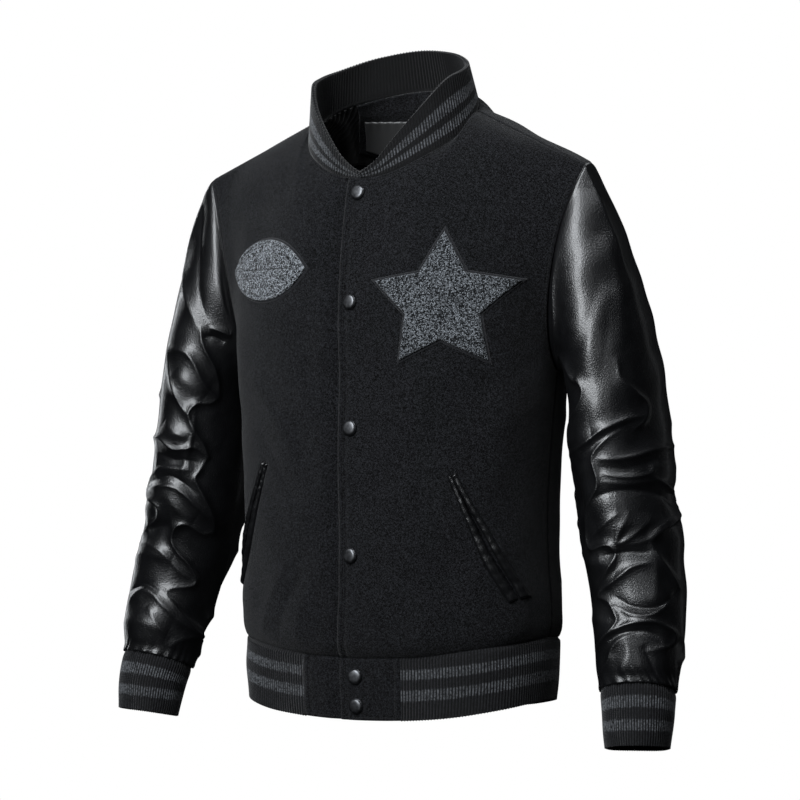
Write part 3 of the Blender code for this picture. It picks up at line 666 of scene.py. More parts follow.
def rib_material(name, stripes, dark=0.0200):
    """Rib knit with heather grey stripes at these shares of its height, with painted shade in the valleys
    between its ribs and on its inner layer.
    """
    s = Shader(name, Roughness=0.95, Sheen_Weight=0.25, Sheen_Roughness=0.5, Specular_IOR_Level=0.2)
    map_at = s.add("UVMap", uv_map="Fabric").outputs[0]
    split = s.add("SeparateXYZ", {"Vector": map_at}).outputs
    place = s.place()
    ribs = s.math("MULTIPLY", split[0], 10)
    across = s.math("ABSOLUTE", s.math("SUBTRACT", s.math("FRACT", s.math("ADD", ribs, 0.5)), 0.5))
    wobble = s.math("MULTIPLY_ADD", s.noise(place, 260, 2), 0.05, -0.025)
    height = s.math("ADD", split[1], wobble)
    band = 0.0
    for low, high in stripes:
        rise = s.ramp(height, low - 0.012, low + 0.012)
        fall = s.ramp(height, high - 0.012, high + 0.012, 1.0, 0.0)
        band = s.math("MAXIMUM", s.math("MULTIPLY", rise, fall), band)
    fleck = s.noise(place, 430, 3, 0.75)
    heather = s.mix(s.ramp(fleck, 0.36, 0.62), (0.006, 0.0064, 0.0075), (0.135, 0.142, 0.153))
    black = s.mix(s.ramp(fleck, 0.35, 0.7), (0.0020, 0.0021, 0.0026), (dark, dark * 1.04, dark * 1.2))
    # Painted shade: the colour goes near black in the valleys between the ribs and keeps its full value only
    # on their crests.
    clear_of_painted_valley_shade = s.ramp(across, 0.14, 0.42, 1.0, 0.0)
    colour = s.mix(clear_of_painted_valley_shade, (0.001, 0.001, 0.0012), s.mix(band, black, heather))
    # Painted shade: the band's inner layer, past share 1.06, is darkened 60% of the way to near black.
    colour = s.mix(s.ramp(split[1], 1.06, 1.09, 0.0, 0.6), colour, (0.0008, 0.0008, 0.001))
    slant = s.math("MULTIPLY_ADD", across, 9.0, s.math("MULTIPLY", split[1], 130))
    loops = s.math("ABSOLUTE", s.math("SINE", slant))
    normal = s.bump(loops, 0.0003, 0.6, s.bump(fleck, 0.0003, 0.5))
    return s.set(Base_Color=colour, Normal=normal)


def chenille_material(name, light):
    s = Shader(name, Roughness=1.0, Sheen_Weight=0.2, Sheen_Roughness=0.5, Specular_IOR_Level=0.1)
    place = s.place()
    curls = s.cells(place, 820, "F1", "Color")
    pick = s.add("SeparateXYZ", {"Vector": curls}).outputs[0]
    hollow = s.cells(place, 820)
    # tone: each curl's own grey, times painted shade that dims it to a tenth in the hollows between curls.
    tone = s.math("MULTIPLY", s.ramp(pick, 0.25, 0.95), s.ramp(hollow, 0.3, 0.75, 1.0, 0.1))
    colour = s.mix(tone, (0.003, 0.0033, 0.004), (light * 0.93, light, light * 1.08))
    normal = s.bump(s.ramp(hollow, 0.0, 0.8, 1.0, 0.0), 0.0009, 0.8)
    return s.set(Base_Color=colour, Normal=normal)


def felt_material():
    s = Shader("felt", Roughness=0.95, Sheen_Weight=0.2, Specular_IOR_Level=0.2)
    place = s.place()
    fuzz = s.noise(place, 1100, 4, 0.7)
    colour = s.mix(s.ramp(fuzz, 0.35, 0.7), (0.006, 0.006, 0.007), (0.028, 0.029, 0.033))
    return s.set(Base_Color=colour, Normal=s.bump(fuzz, 0.0004, 0.6))


def metal_material():
    s = Shader("metal", Metallic=1.0)
    place = s.place()
    dull = s.noise(place, 300, 3)
    colour = s.mix(dull, (0.09, 0.092, 0.098), (0.17, 0.174, 0.182))
    return s.set(Base_Color=colour, Roughness=s.ramp(dull, 0.3, 0.7, 0.34, 0.46))


def satin_material(name, low, high):
    s = Shader(name, Roughness=0.38, Specular_IOR_Level=0.6, Sheen_Weight=0.15)
    place = s.place()
    stretched = s.add("Mapping", {"Vector": place, "Scale": (1.0, 1.0, 0.15)}).outputs[0]
    weave = s.noise(stretched, 2600, 2)
    colour = s.mix(weave, (low,) * 3, (high,) * 3)
    return s.set(Base_Color=colour, Normal=s.bump(weave, 0.0001, 0.3))


def thread_material(name, grey):
    s = Shader(name, Roughness=0.7, Specular_IOR_Level=0.3)
    twist = s.noise(s.place(), 2200, 2)
    return s.set(Base_Color=s.mix(twist, (grey * 0.5,) * 3, (grey,) * 3))


wool, leather, felt, metal = wool_material(), leather_material(), felt_material(), metal_material()
star_pile, ball_pile = chenille_material("pile_dark", 0.36), chenille_material("pile_light", 0.62)
hem_knit = rib_material("rib_hem", ((0.19, 0.345), (0.517, 0.69)))
cuff_knit = rib_material("rib_cuff", ((0.233, 0.383), (0.55, 0.717)))
collar_knit = rib_material("rib_collar", ((0.14, 0.31), (0.45, 0.68)), 0.0065)
satin = satin_material("satin", 0.008, 0.016)
label_satin = satin_material("label_satin", 0.026, 0.05)
thread = thread_material("thread", 0.02)

# ---- Body panels ---------------------------------------------------------------------------------

STEP = 0.0036
EDGE = 0.004


def panel_levels():
    low = spaced(0.32, STEP, dense_start=EDGE) - 1
    high = spaced(0.27, STEP, dense_end=EDGE)[1:]
    return np.concatenate((low * (CHEST - WAIST_SEAM[0]), high)), len(low) - 1


LEVELS, CHEST_ROW = panel_levels()
NECK_COLUMNS = np.linspace(0, NECK_SHARE, 39)
SHOULDER_COLUMNS = NECK_SHARE + (1 - NECK_SHARE) * spaced(0.148, STEP, dense_end=EDGE)[1:]
HALF_SHARES = np.concatenate((NECK_COLUMNS, SHOULDER_COLUMNS))


def front_base():
    """The wearer's left front: its shares, one row for each level, and its points."""
    lap = spaced(OVERLAP, STEP, dense_start=EDGE)
    lap = 1 - lap[:-1]
    edge = np.array([overlap_share(level) for level in LEVELS])
    half = np.broadcast_to(HALF_SHARES, (len(LEVELS), len(HALF_SHARES)))
    shares = np.concatenate((edge[:, None] * lap, half), axis=1)
    grid = panel_points(shares, LEVELS[:, None], True)
    return shares, soften_chest(grid, shares[0])


def soften_chest(grid, shares):
    """Rounds the slight kinks where the climb to the shoulder starts and below the side of the neck."""
    keep = ease(np.abs(shares), 0.86, 0.99)[None, :, None]
    rows = np.arange(len(grid))[:, None, None]
    smooth_rows(grid, 0.5 * bell(rows - CHEST_ROW, 14) * keep, 60)
    below_neck = ease(LEVELS, 0.50, 0.97)[:, None, None]
    weight = 0.5 * bell(np.abs(shares) - NECK_SHARE, 0.13)[None, :, None] * below_neck
    smooth_rows(np.swapaxes(grid, 0, 1), np.swapaxes(weight, 0, 1), 260)
    return grid


def panel_heights(grid, normals, shares, folds, seed):
    """Seams, topstitching, folds and a little unevenness for a panel; the first and last columns are its
    centre edge and its side."""
    waist, top, _, side = edge_distances(grid)
    level = LEVELS[:, None]
    share = np.abs(shares)
    heights = seam_dip(waist) + seam_dip(top) + seam_dip(side)
    arm = 1 - ease(level, 0.02, 0.10)
    neck = ease(share, NECK_SHARE, NECK_SHARE + 0.03)
    heights += stitch_groove(side) * arm + stitch_groove(top) * neck
    calm = (1 - bell(side, 0.02)) * (1 - bell(waist, 0.012)) * (1 - bell(top, 0.015))
    heights += calm * (fold_heights(grid, normals, folds, False) + 0.0006 * waves(grid, seed, 0.07))
    return heights


# Folds: height, breadth on the left and on the right, and roundness of the crest, in millimetres, then the
# fold's line: in pixels of the picture, but on the back in shares of its columns and rows.
LEFT_FRONT_FOLDS = (
    (-2.6, 13, 13, 6, ((548, 350), (522, 368), (492, 386), (466, 398))),
    (2, 13, 13, 6, ((556, 398), (530, 408), (500, 424), (476, 446))),
    (-1.4, 14, 14, 6, ((520, 450), (505, 500), (500, 550))),
    (-1.2, 12, 12, 6, ((436, 420), (424, 470), (420, 520))),
    (1.2, 14, 14, 6, ((384, 606), (402, 566), (432, 524))),
    (1.7, 9, 9, 5, ((484, 644), (476, 600), (470, 560))),
    (-1.5, 8, 8, 4, ((456, 646), (450, 610), (446, 574))),
    (1.3, 8, 8, 4, ((430, 650), (424, 612), (420, 580))),
    (1.6, 9, 9, 5, ((524, 640), (528, 596), (534, 556))),
    (-1.4, 8, 8, 4, ((506, 640), (506, 610), (508, 576))),
    (1, 7, 7, 4, ((378, 655), (374, 620), (372, 596))),
    (1, 16, 16, 8, ((420, 180), (400, 210), (380, 240))),
    (-1, 14, 14, 7, ((530, 190), (515, 220), (505, 250))),
)
RIGHT_FRONT_FOLDS = (
    (1.9, 11, 11, 5, ((248, 372), (272, 412), (298, 462))),
    (-1.8, 11, 11, 5, ((258, 430), (280, 470), (300, 516))),
    (1.4, 12, 12, 6, ((250, 490), (270, 520), (300, 560))),
    (1.9, 8, 8, 4, ((262, 636), (270, 600), (288, 560))),
    (-1.8, 7, 7, 4, ((276, 640), (286, 604), (304, 564))),
    (1.7, 8, 8, 4, ((296, 648), (302, 606), (318, 566))),
    (-1.4, 7, 7, 4, ((318, 652), (320, 612), (326, 580))),
    (1.2, 12, 12, 6, ((322, 206), (300, 250), (290, 290))),
    (-1.2, 12, 12, 6, ((300, 330), (310, 380), (322, 430))),
)
BACK_FOLDS = (
    (2.2, 13, 13, 6, ((0.03, 0.50), (0.10, 0.46), (0.20, 0.44))),
    (-2, 12, 12, 6, ((0.02, 0.56), (0.10, 0.56), (0.19, 0.60))),
    (2, 13, 13, 6, ((0.97, 0.49), (0.90, 0.47), (0.79, 0.46))),
    (-2.1, 12, 12, 6, ((0.98, 0.57), (0.91, 0.58), (0.82, 0.63))),
    (1.6, 14, 14, 7, ((0.36, 0.86), (0.38, 0.72), (0.37, 0.60))),
    (-1.5, 15, 15, 7, ((0.62, 0.84), (0.60, 0.70), (0.62, 0.58))),
    (1.8, 10, 10, 5, ((0.12, 0.02), (0.13, 0.10), (0.16, 0.20))),
    (-1.6, 9, 9, 5, ((0.21, 0.02), (0.22, 0.09), (0.24, 0.17))),
    (2, 10, 10, 5, ((0.31, 0.02), (0.31, 0.12), (0.33, 0.22))),
    (-1.4, 9, 9, 5, ((0.43, 0.02), (0.44, 0.08), (0.45, 0.15))),
    (1.7, 10, 10, 5, ((0.55, 0.02), (0.54, 0.11), (0.52, 0.20))),
    (-1.6, 9, 9, 5, ((0.66, 0.02), (0.66, 0.09), (0.64, 0.16))),
    (2, 10, 10, 5, ((0.77, 0.02), (0.76, 0.10), (0.73, 0.21))),
    (-1.5, 9, 9, 5, ((0.87, 0.02), (0.86, 0.08), (0.85, 0.15))),
)


def pocket_line(side):
    """The pocket's upper and lower end, as x and height."""
    sign = 1 if side == "left" else -1
    return [np.array((sign * x, height)) for x, height in POCKETS[side]]


def pocket_slit(grid, normals, side):
    """The slit between a pocket's lips, as heights for the front that it is in."""
    top, end = pocket_line(side)
    places = top + (end - top) * np.linspace(0.02, 0.98, 24)[:, None]
    flat = grid.reshape(-1, 3)
    nearest = [np.argmin(np.linalg.norm(flat[:, ::2] - place, axis=1)) for place in places]
    depth = np.convolve(np.pad(flat[nearest, 1], 2, mode="edge"), np.full(5, 0.2), mode="valid")
    line = np.stack((places[:, 0], depth, places[:, 1]), axis=1)
    index, signed, _ = line_distance(grid, normals, line, 0.01)
    heights = np.zeros(len(flat))
    heights[index] = -0.0035 * bell(signed, 0.0028)
    return heights.reshape(grid.shape[:2])


def make_fronts():
    """Both fronts. Returns each one's shares and outer points, for what lies on it."""
    shares, left = front_base()
    found = {}
    for side, grid, folds, seed in (("left", left, LEFT_FRONT_FOLDS, 3),
                                    ("right", underlap(mirrored(left)), RIGHT_FRONT_FOLDS, 4)):
        normals, flip = outward(grid)
        heights = panel_heights(grid, normals, shares, placed_folds(grid, normals, folds, False), seed)
        free = lengths_along(grid, 1)
        heights += rolled(free, 0.0028) + pocket_slit(grid, normals, side)
        if side == "left":
            heights += stitch_groove(free, FRONT_STITCH, 0.0012, 0.0020)
            heights += -stitch_groove(free, 0.0045, 0.0008, 0.0028)
        else:
            heights += stitch_groove(free, 2 * OVERLAP + 0.001, 0.0034, 0.0042)
        outer = grid + normals * heights[..., None]
        inner = grid - normals * (WOOL - np.minimum(heights, 0) * 0.3)[..., None]
        shell(f"front_{side}_wool", outer, inner, wool, flip=flip)
        found[side] = (shares[-1], outer, outward(outer)[0])
    return found


def make_back():
    shares = np.concatenate((-HALF_SHARES[:0:-1], HALF_SHARES))
    grid = panel_points(shares[None, :], LEVELS[:, None], False)
    grid = soften_chest(grid, shares)
    normals, flip = outward(grid)
    heights = panel_heights(grid, normals, shares, BACK_FOLDS, 5)
    far = lengths_along(grid, 1)
    heights += seam_dip(far) + stitch_groove(far) * (1 - ease(LEVELS[:, None], 0.02, 0.10))
    outer = grid + normals * heights[..., None]
    shell("back_wool", outer, grid - normals * WOOL, wool, flip=flip)
    return shares, outer, outward(outer)[0]


# ---- Rib hem, tabs, collar and cuffs ---------------------------------------------------------------

TAB_LEFT, TAB_RIGHT = 0.168, 0.21
RIB_PITCH, COLLAR_PITCH, PER_RIB = 0.0036, 0.0040, 4


def even_turns(curve, start, end, count):
    """Turns from start to end whose points on the curve are evenly far apart."""
    fine = np.linspace(start, end, 800)
    lengths = np.concatenate(([0], np.cumsum(np.linalg.norm(np.diff(curve(fine), axis=0), axis=1))))
    return np.interp(np.linspace(0, lengths[-1], count), lengths, fine), lengths[-1]


def make_hem():
    start, end = TAB_LEFT * math.pi / 2, 2 * math.pi - TAB_RIGHT * math.pi / 2
    middle = lambda turn: girth_points(HEM_SECTIONS, turn, np.full_like(turn, -0.66))
    _, length = even_turns(middle, start, end, 10)
    count = round(length / RIB_PITCH)
    turns, _ = even_turns(middle, start, end, PER_RIB * count + 1)
    down = under_panel(spaced(0.07, 0.0045, dense_start=0.002, dense_end=0.002))
    heights = WAIST_SEAM[0] + (HEM_SECTIONS[0][0] - WAIST_SEAM[0]) * down
    grid = girth_points(HEM_SECTIONS, turns[None, :], heights[:, None])
    normals, _ = outward(grid)
    from_seam = np.maximum(down, 0)[:, None] * (WAIST_SEAM[0] - HEM_SECTIONS[0][0])
    puff = seam_dip(from_seam, 0.0012) + 0.0005 * waves(grid, 8, 0.06) + tucked(down, 0.0032)
    grid = grid + normals * puff[..., None]
    rib_band("hem_knit", grid, down, np.linspace(0, count, PER_RIB * count + 1), RIB, hem_knit)


def make_tabs():
    """The wool tabs at the hem's two ends. Returns their outer points and normals."""
    found = []
    edge = float(overlap_share(np.array(WAIST_SEAM[0] - CHEST)))
    down = spaced(0.07, STEP, dense_start=EDGE, dense_end=EDGE)
    heights = WAIST_SEAM[0] + (HEM_SECTIONS[0][0] - WAIST_SEAM[0]) * down
    for side, last in (("left", TAB_LEFT), ("right", TAB_RIGHT)):
        width = spaced(0.062 if side == "left" else 0.07, STEP, dense_start=EDGE, dense_end=EDGE)
        shares = edge + (last - edge) * width
        grid = girth_points(HEM_SECTIONS, shares[None, :] * math.pi / 2, heights[:, None])
        if side == "right":
            grid = underlap(mirrored(grid))
        normals, flip = outward(grid)
        waist, bottom, centre, rib_end = edge_distances(grid)
        heights_out = seam_dip(waist) + seam_dip(rib_end) + rolled(bottom, 0.002) + rolled(centre, 0.002)
        heights_out += stitch_groove(centre, TAB_STITCH, 0.0006) + stitch_groove(bottom, TAB_HEM_STITCH)
        heights_out += stitch_groove(rib_end, TAB_STITCH, 0.0007) + 0.0004 * waves(grid, 9, 0.04)
        outer = grid + normals * heights_out[..., None]
        shell(f"tab_{side}_wool", outer, grid - normals * WOOL, wool, flip=flip)
        found.append((outer, normals))
    return found


def collar_points(degrees, rim):
    """Points of the collar for degrees from 0, at the left front's end, to 360, at the right front's."""
    degrees, rim = np.broadcast_arrays(degrees, rim)
    other = degrees > 180
    points = neck_points(np.where(other, 360 - degrees, degrees), rim)
    right = mirrored(points)
    right = np.where((360 - degrees <= SIDE_NECK)[..., None], underlap(right), right)
    points = np.where(other[..., None], right, points)
    points[..., 0] += COLLAR_PART * (bell(degrees, 6) - bell(360 - degrees, 6))
    return points


def make_collar():
    middle = lambda turn: collar_points(turn, np.full_like(turn, 0.5))
    _, length = even_turns(middle, 0.0, 360.0, 10)
    count = round(length / COLLAR_PITCH)
    degrees, _ = even_turns(middle, 0.0, 360.0, PER_RIB * count + 1)
    up = under_panel(spaced(0.05, 0.0028, dense_start=0.002, dense_end=0.002))
    grid = collar_points(degrees[None, :], up[:, None])
    centre = np.array((0, -0.012, 0)) + grid * (0, 0, 1)
    ribs = np.linspace(0, count, PER_RIB * count + 1)
    rib_band("collar_knit", grid, up, ribs, RIB, collar_knit, centre=centre, depth=0.0008)


CUFF_RIBS = 78


def make_cuffs():
    down = under_panel(spaced(0.062, 0.0042, dense_start=0.002, dense_end=0.002))
    drops = SLEEVE_END + (CUFF_SECTIONS[-1][0] - SLEEVE_END) * down
    columns = PER_RIB * CUFF_RIBS
    degrees = np.arange(columns) * 360 / columns
    grid = arm_points(CUFF_SECTIONS, degrees, drops)
    for side in ("left", "right"):
        placed = grid if side == "left" else lifted(mirrored(grid))
        normals, _ = outward(placed, True)
        from_seam = np.maximum(drops - SLEEVE_END, 0)[:, None]
        tuck = -0.0014 * bell(from_seam, 0.004) + tucked(down, 0.0016)
        placed = placed + normals * (tuck + 0.0006 * waves(placed, 11, 0.05))[..., None]
        rib_band(f"cuff_{side}_knit", placed, down, np.arange(columns) / PER_RIB, RIB, cuff_knit, closed=True)


# ---- Sleeves ---------------------------------------------------------------------------------------

ARM_COLUMNS, ARM_COARSER, FRONT_DENSER = 224, 4, 0.38
TUBE_STEP, CAP_STEP = 0.00125, 0.0022
ARM_SIZE = (0.33, 0.56)
LEFT_SLEEVE_FOLDS = (
    (3.4, 2.6, 5, 1.3, ((552, 232), (555, 262), (554, 300), (556, 335), (559, 366))),
    (2.4, 14, 14, 20, ((584, 200), (584, 252), (580, 300), (572, 350))),
    (1.6, 7, 7, 8, ((604, 296), (595, 327), (587, 352), (582, 368))),
    (-1.2, 7, 7, 8, ((600, 280), (588, 320), (577, 348), (568, 362))),
    (2, 7, 9, 7, ((607, 243), (616, 271), (620, 300), (620, 330), (618, 360))),
    (-1.2, 6, 6, 6, ((608, 320), (605, 350), (601, 380))),
    (3.6, 3.4, 2.8, 1, (
        (559, 367), (570, 374), (578, 381), (583, 390), (582, 400), (577, 412), (571, 430), (567, 448))),
    (3.6, 2.8, 4, 1, (
        (618, 366), (620, 378), (629, 387), (638, 395), (645, 402), (647, 411), (644, 421), (636, 428))),
    (3.6, 2.8, 2.8, 1, (
        (619, 431), (604, 441), (595, 451), (592, 459), (594, 468), (597, 479), (596, 489), (590, 500),
        (585, 511), (584, 524), (585, 538), (588, 545), (594, 549), (604, 545), (611, 546), (616, 554),
        (613, 563), (607, 574), (601, 587), (599, 596))),
    (3.6, 4, 4, 1.8, ((642, 416), (627, 419), (612, 425), (599, 432), (583, 446), (568, 457))),
    (-1, 3.5, 3.5, 1.5, ((630, 424), (612, 432), (598, 442), (584, 454))),
    (3.8, 4.2, 4.2, 1.8, ((596, 459), (617, 459), (635, 456), (653, 450), (678, 445))),
    (-1, 4, 4, 2, ((600, 467), (620, 469), (640, 465), (660, 458))),
    (2.8, 3, 3, 1.3, ((605, 474), (621, 477), (635, 477), (650, 473), (653, 467))),
    (1.8, 3.2, 3.2, 2.2, ((604, 482), (625, 484), (650, 482))),
    (3.2, 2.8, 3.2, 1, (
        (651, 477), (664, 484), (674, 492), (680, 500), (682, 507), (679, 514), (669, 525), (657, 534),
        (651, 542), (653, 548))),
    (-3, 5, 5, 2, ((594, 498), (610, 492), (635, 490), (658, 494), (672, 503))),
    (3, 12, 12, 6, ((600, 530), (625, 525), (655, 520))),
    (2, 3.2, 3.2, 2.2, ((616, 515), (604, 524), (594, 534), (590, 540))),
    (2, 3.2, 3.2, 2.2, ((628, 515), (622, 527), (617, 540), (622, 543), (635, 534), (646, 524), (649, 518))),
    (2.2, 3.2, 3.2, 2.2, ((678, 513), (662, 525), (651, 537), (642, 542), (628, 545))),
    (-2.2, 3.5, 3.5, 1, ((604, 556), (625, 552), (645, 552))),
    (3.2, 3, 3.4, 1.3, ((599, 596), (617, 579), (631, 568), (645, 564))),
    (3.2, 9, 9, 4, ((653, 556), (656, 575), (655, 598))),
    (2.4, 2.8, 4, 1, ((653, 549), (660, 560), (667, 569), (674, 579), (680, 588))),
    (-2.6, 3, 3, 0.8, ((617, 598), (631, 606), (653, 608), (668, 601), (678, 590))),
    (2.8, 3, 3.2, 1.3, ((617, 607), (630, 614), (646, 616), (660, 610), (671, 599))),
    (3.6, 3, 2.8, 1, (
        (599, 597), (608, 601), (612, 606), (616, 614), (618, 621), (613, 630), (603, 642), (599, 646))),
    (3.6, 2.8, 2.8, 1, (
        (600, 646), (606, 639), (617, 630), (630, 624), (653, 622), (666, 627), (674, 633), (675, 641),
        (669, 646), (658, 649), (648, 651))),
    (-2.6, 3.5, 3.5, 1, ((612, 640), (625, 633), (645, 631), (660, 636))),
    (2.8, 3.2, 3, 1.4, ((601, 677), (608, 662), (612, 650), (621, 639), (631, 635))),
    (2.6, 9, 9, 4, ((626, 640), (628, 655), (622, 672))),
    (-2.4, 4, 4, 1, ((646, 651), (650, 660), (655, 672))),
    (3.5, 12, 12, 5, ((588, 565), (600, 563), (612, 566))),
    (3.5, 10, 10, 5, ((593, 620), (604, 622), (614, 624))),
    (3.5, 12, 12, 5, ((568, 446), (576, 440), (588, 436))),
    (2.5, 12, 12, 8, ((682, 540), (668, 538), (654, 536))),
    (-9, 16, 16, 12, ((568, 470), (574, 495), (577, 520), (580, 550))),
    (3, 12, 12, 5, ((682, 466), (670, 466), (656, 468))),
    (-2.5, 6, 6, 3, ((679, 494), (668, 495))),
    (-2.5, 7, 7, 5, ((680, 643), (670, 645))),
)
RIGHT_SLEEVE_FOLDS = (
    (5, 3, 10, 1.5, ((212, 194), (216, 220), (219, 248), (221, 280), (224, 304), (230, 320), (233, 330))),
    (3.2, 2.8, 3.6, 1, ((233, 330), (230, 335), (222, 332), (212, 329))),
    (-3, 4, 6, 3, ((203, 205), (200, 240), (199, 270), (200, 296), (206, 318))),
    (3, 5, 5, 3, ((200, 196), (193, 226), (188, 256), (185, 280), (187, 302), (193, 318), (200, 332))),
    (3.6, 2.8, 3.6, 1, ((201, 332), (202, 342), (208, 356), (214, 368), (218, 382), (219, 394))),
    (-3, 3, 3, 1, ((206, 337), (214, 337), (222, 341))),
    (3.2, 3.6, 4, 1.6, ((169, 350), (182, 351), (190, 357), (196, 368), (202, 382), (210, 392), (217, 398))),
    (3.2, 3.2, 3, 1.3, ((169, 353), (170, 370), (174, 390), (180, 404), (188, 416))),
    (3.8, 2.8, 4, 1, (
        (218, 398), (210, 403), (197, 404), (190, 410), (189, 418), (196, 434), (204, 446), (208, 456))),
    (2.5, 10, 10, 5, ((178, 375), (190, 385), (200, 395))),
    (3.4, 3, 3.2, 1.2, ((154, 437), (163, 439), (173, 449), (184, 449), (195, 448), (206, 456))),
    (2.2, 6, 6, 3, ((168, 424), (176, 432), (184, 436))),
    (-2.2, 4, 4, 1.5, ((158, 452), (172, 459), (188, 460), (200, 464))),
    (2.6, 4, 4, 2.2, ((160, 468), (173, 468), (189, 470))),
    (3.2, 3, 3, 1.1, (
        (159, 468), (150, 479), (147, 490), (152, 498), (159, 506), (158, 518), (149, 527), (139, 537))),
    (-2.4, 3.5, 3.5, 1.2, ((154, 480), (168, 476), (182, 482), (194, 492))),
    (3, 3.4, 3.6, 1.4, ((150, 489), (162, 486), (173, 487), (184, 494), (195, 505), (206, 516), (212, 524))),
    (2.5, 9, 9, 4, ((170, 500), (180, 512), (190, 518))),
    (3.8, 2.8, 4, 1, (
        (207, 458), (200, 470), (195, 478), (198, 487), (205, 500), (211, 513), (214, 524), (213, 532))),
    (3.6, 2.8, 3.2, 1, (
        (212, 532), (203, 534), (192, 527), (184, 524), (176, 527), (172, 537), (174, 546), (179, 554),
        (188, 564), (195, 576), (194, 584), (186, 587), (174, 588), (167, 591))),
    (3.4, 2.8, 4, 1, ((167, 591), (168, 597), (178, 610), (190, 624), (206, 642))),
    (2.6, 4, 4, 2.2, ((139, 543), (152, 545), (162, 551), (170, 560), (178, 570), (190, 580))),
    (3.5, 4, 5, 2.2, (
        (130, 604), (136, 594), (146, 590), (154, 595), (164, 606), (176, 618), (188, 628), (200, 636))),
    (-3, 3.5, 3, 0.8, ((132, 590), (144, 584), (156, 590))),
    (2, 4, 5, 2.2, ((170, 646), (184, 639), (200, 636))),
    (2.2, 3.2, 3.5, 2.2, ((236, 530), (228, 550), (222, 576), (214, 602), (210, 626), (206, 642))),
    (2, 5, 5, 2, ((150, 610), (158, 625), (166, 636))),
    (4.5, 12, 12, 5, ((157, 440), (170, 434), (190, 438))),
    (-4, 7, 7, 4, ((160, 463), (170, 463), (184, 464))),
    (4.5, 11, 11, 5, ((146, 510), (156, 500), (172, 492))),
    (-4.5, 7, 7, 4, ((152, 528), (158, 527), (168, 526))),
    (4.5, 11, 11, 5, ((138, 558), (152, 554), (168, 560))),
    (5, 14, 14, 6, ((124, 624), (142, 622), (164, 632))),
)


def armhole_curve():
    """Points and degrees round the armhole, from the underarm by the front."""
    steps = np.linspace(0, 1, 241)
    front = panel_points(np.ones_like(steps), steps, True)
    back = panel_points(np.ones_like(steps), steps, False)[::-1]
    degrees = []
    for edge, start, end in ((front, 0, SHOULDER_TURN), (back, SHOULDER_TURN, 360)):
        lengths = np.concatenate(([0], np.cumsum(np.linalg.norm(np.diff(edge, axis=0), axis=1))))
        degrees.append(start + (end - start) * lengths / lengths[-1])
    return np.concatenate((front, back)), np.concatenate(degrees)


def sleeve_base():
    """The wearer's left sleeve: rows from its end up to the armhole, columns from the underarm forward."""
    evenly = np.arange(ARM_COLUMNS) * 360 / ARM_COLUMNS
    degrees = evenly - FRONT_DENSER * np.degrees(np.sin(np.radians(evenly - 90)) + 1)
    points, around = armhole_curve()
    hole = np.stack([np.interp(degrees, around, column) for column in points.T], axis=1)
    turns = np.radians(degrees)
    leaving = (0.060 - 0.015 * np.cos(turns), -0.035 * np.sin(turns), -0.065 + 0.065 * np.cos(turns))
    leaving = np.stack(leaving, axis=1)
    drops = SLEEVE_END + (SLEEVE_TOP - SLEEVE_END) * spaced(0.315, TUBE_STEP, dense_start=0.003)
    tube = arm_points(SLEEVE_SECTIONS, degrees, drops)
    _, out, forward = arm_axis(SLEEVE_SECTIONS, np.array([SLEEVE_TOP]))
    down = unit(np.cross(out, forward))
    down = (down * -np.sign(down[..., 2:]))[0]
    reach = (0.180 - 0.130 * np.cos(turns))[:, None]
    steps = 1 - spaced(0.25, CAP_STEP, dense_end=0.003)[1:]
    cap = hermite(hole[None], leaving[None], tube[-1][None], (down * reach)[None], steps[:, None, None])
    grid = np.concatenate((tube, cap))
    spare = (len(grid) - 1) % ARM_COARSER
    grid = np.delete(grid, [len(tube) - 4 * number for number in range(spare)], axis=0)
    rows = np.arange(len(grid))[:, None, None]
    smooth_rows(grid, 0.5 * bell(rows - len(tube), 20), 80)
    return grid


def lengthened(folds, extra=0.008):
    """Folds whose lines run on past both ends, so that those that end at the outline reach round it."""
    longer = []
    for *sizes, places in folds:
        places = np.array(places)
        ends = places[[0, -1]] - places[[1, -2]]
        ends *= extra / np.maximum(np.linalg.norm(ends * ARM_SIZE, axis=1, keepdims=True), 1e-6)
        longer.append((*sizes, np.concatenate((places[:1] + ends[:1], places, places[-1:] + ends[1:]))))
    return longer


def on_hidden_side(folds, middle, seed, top=0.74, bottom=0.03):
    """Uneven copies of the folds, upside down on the side of the sleeve that faces away. The shown side's
    middle is at this share of the columns."""
    rng = np.random.default_rng(seed)
    copies = []
    for height, left, right, crest, places in folds:
        shift, size = rng.uniform(-0.03, 0.03), rng.uniform(0.75, 1.15)
        column = middle + 0.5 + shift + 0.72 * (places[:, 0] - middle)
        row = bottom + (top - bottom) * (1 - places[:, 1])
        places = np.stack((column, row), axis=1)
        copies.append((height * size, right * size, left * size, crest + 0.8, places))
    return copies


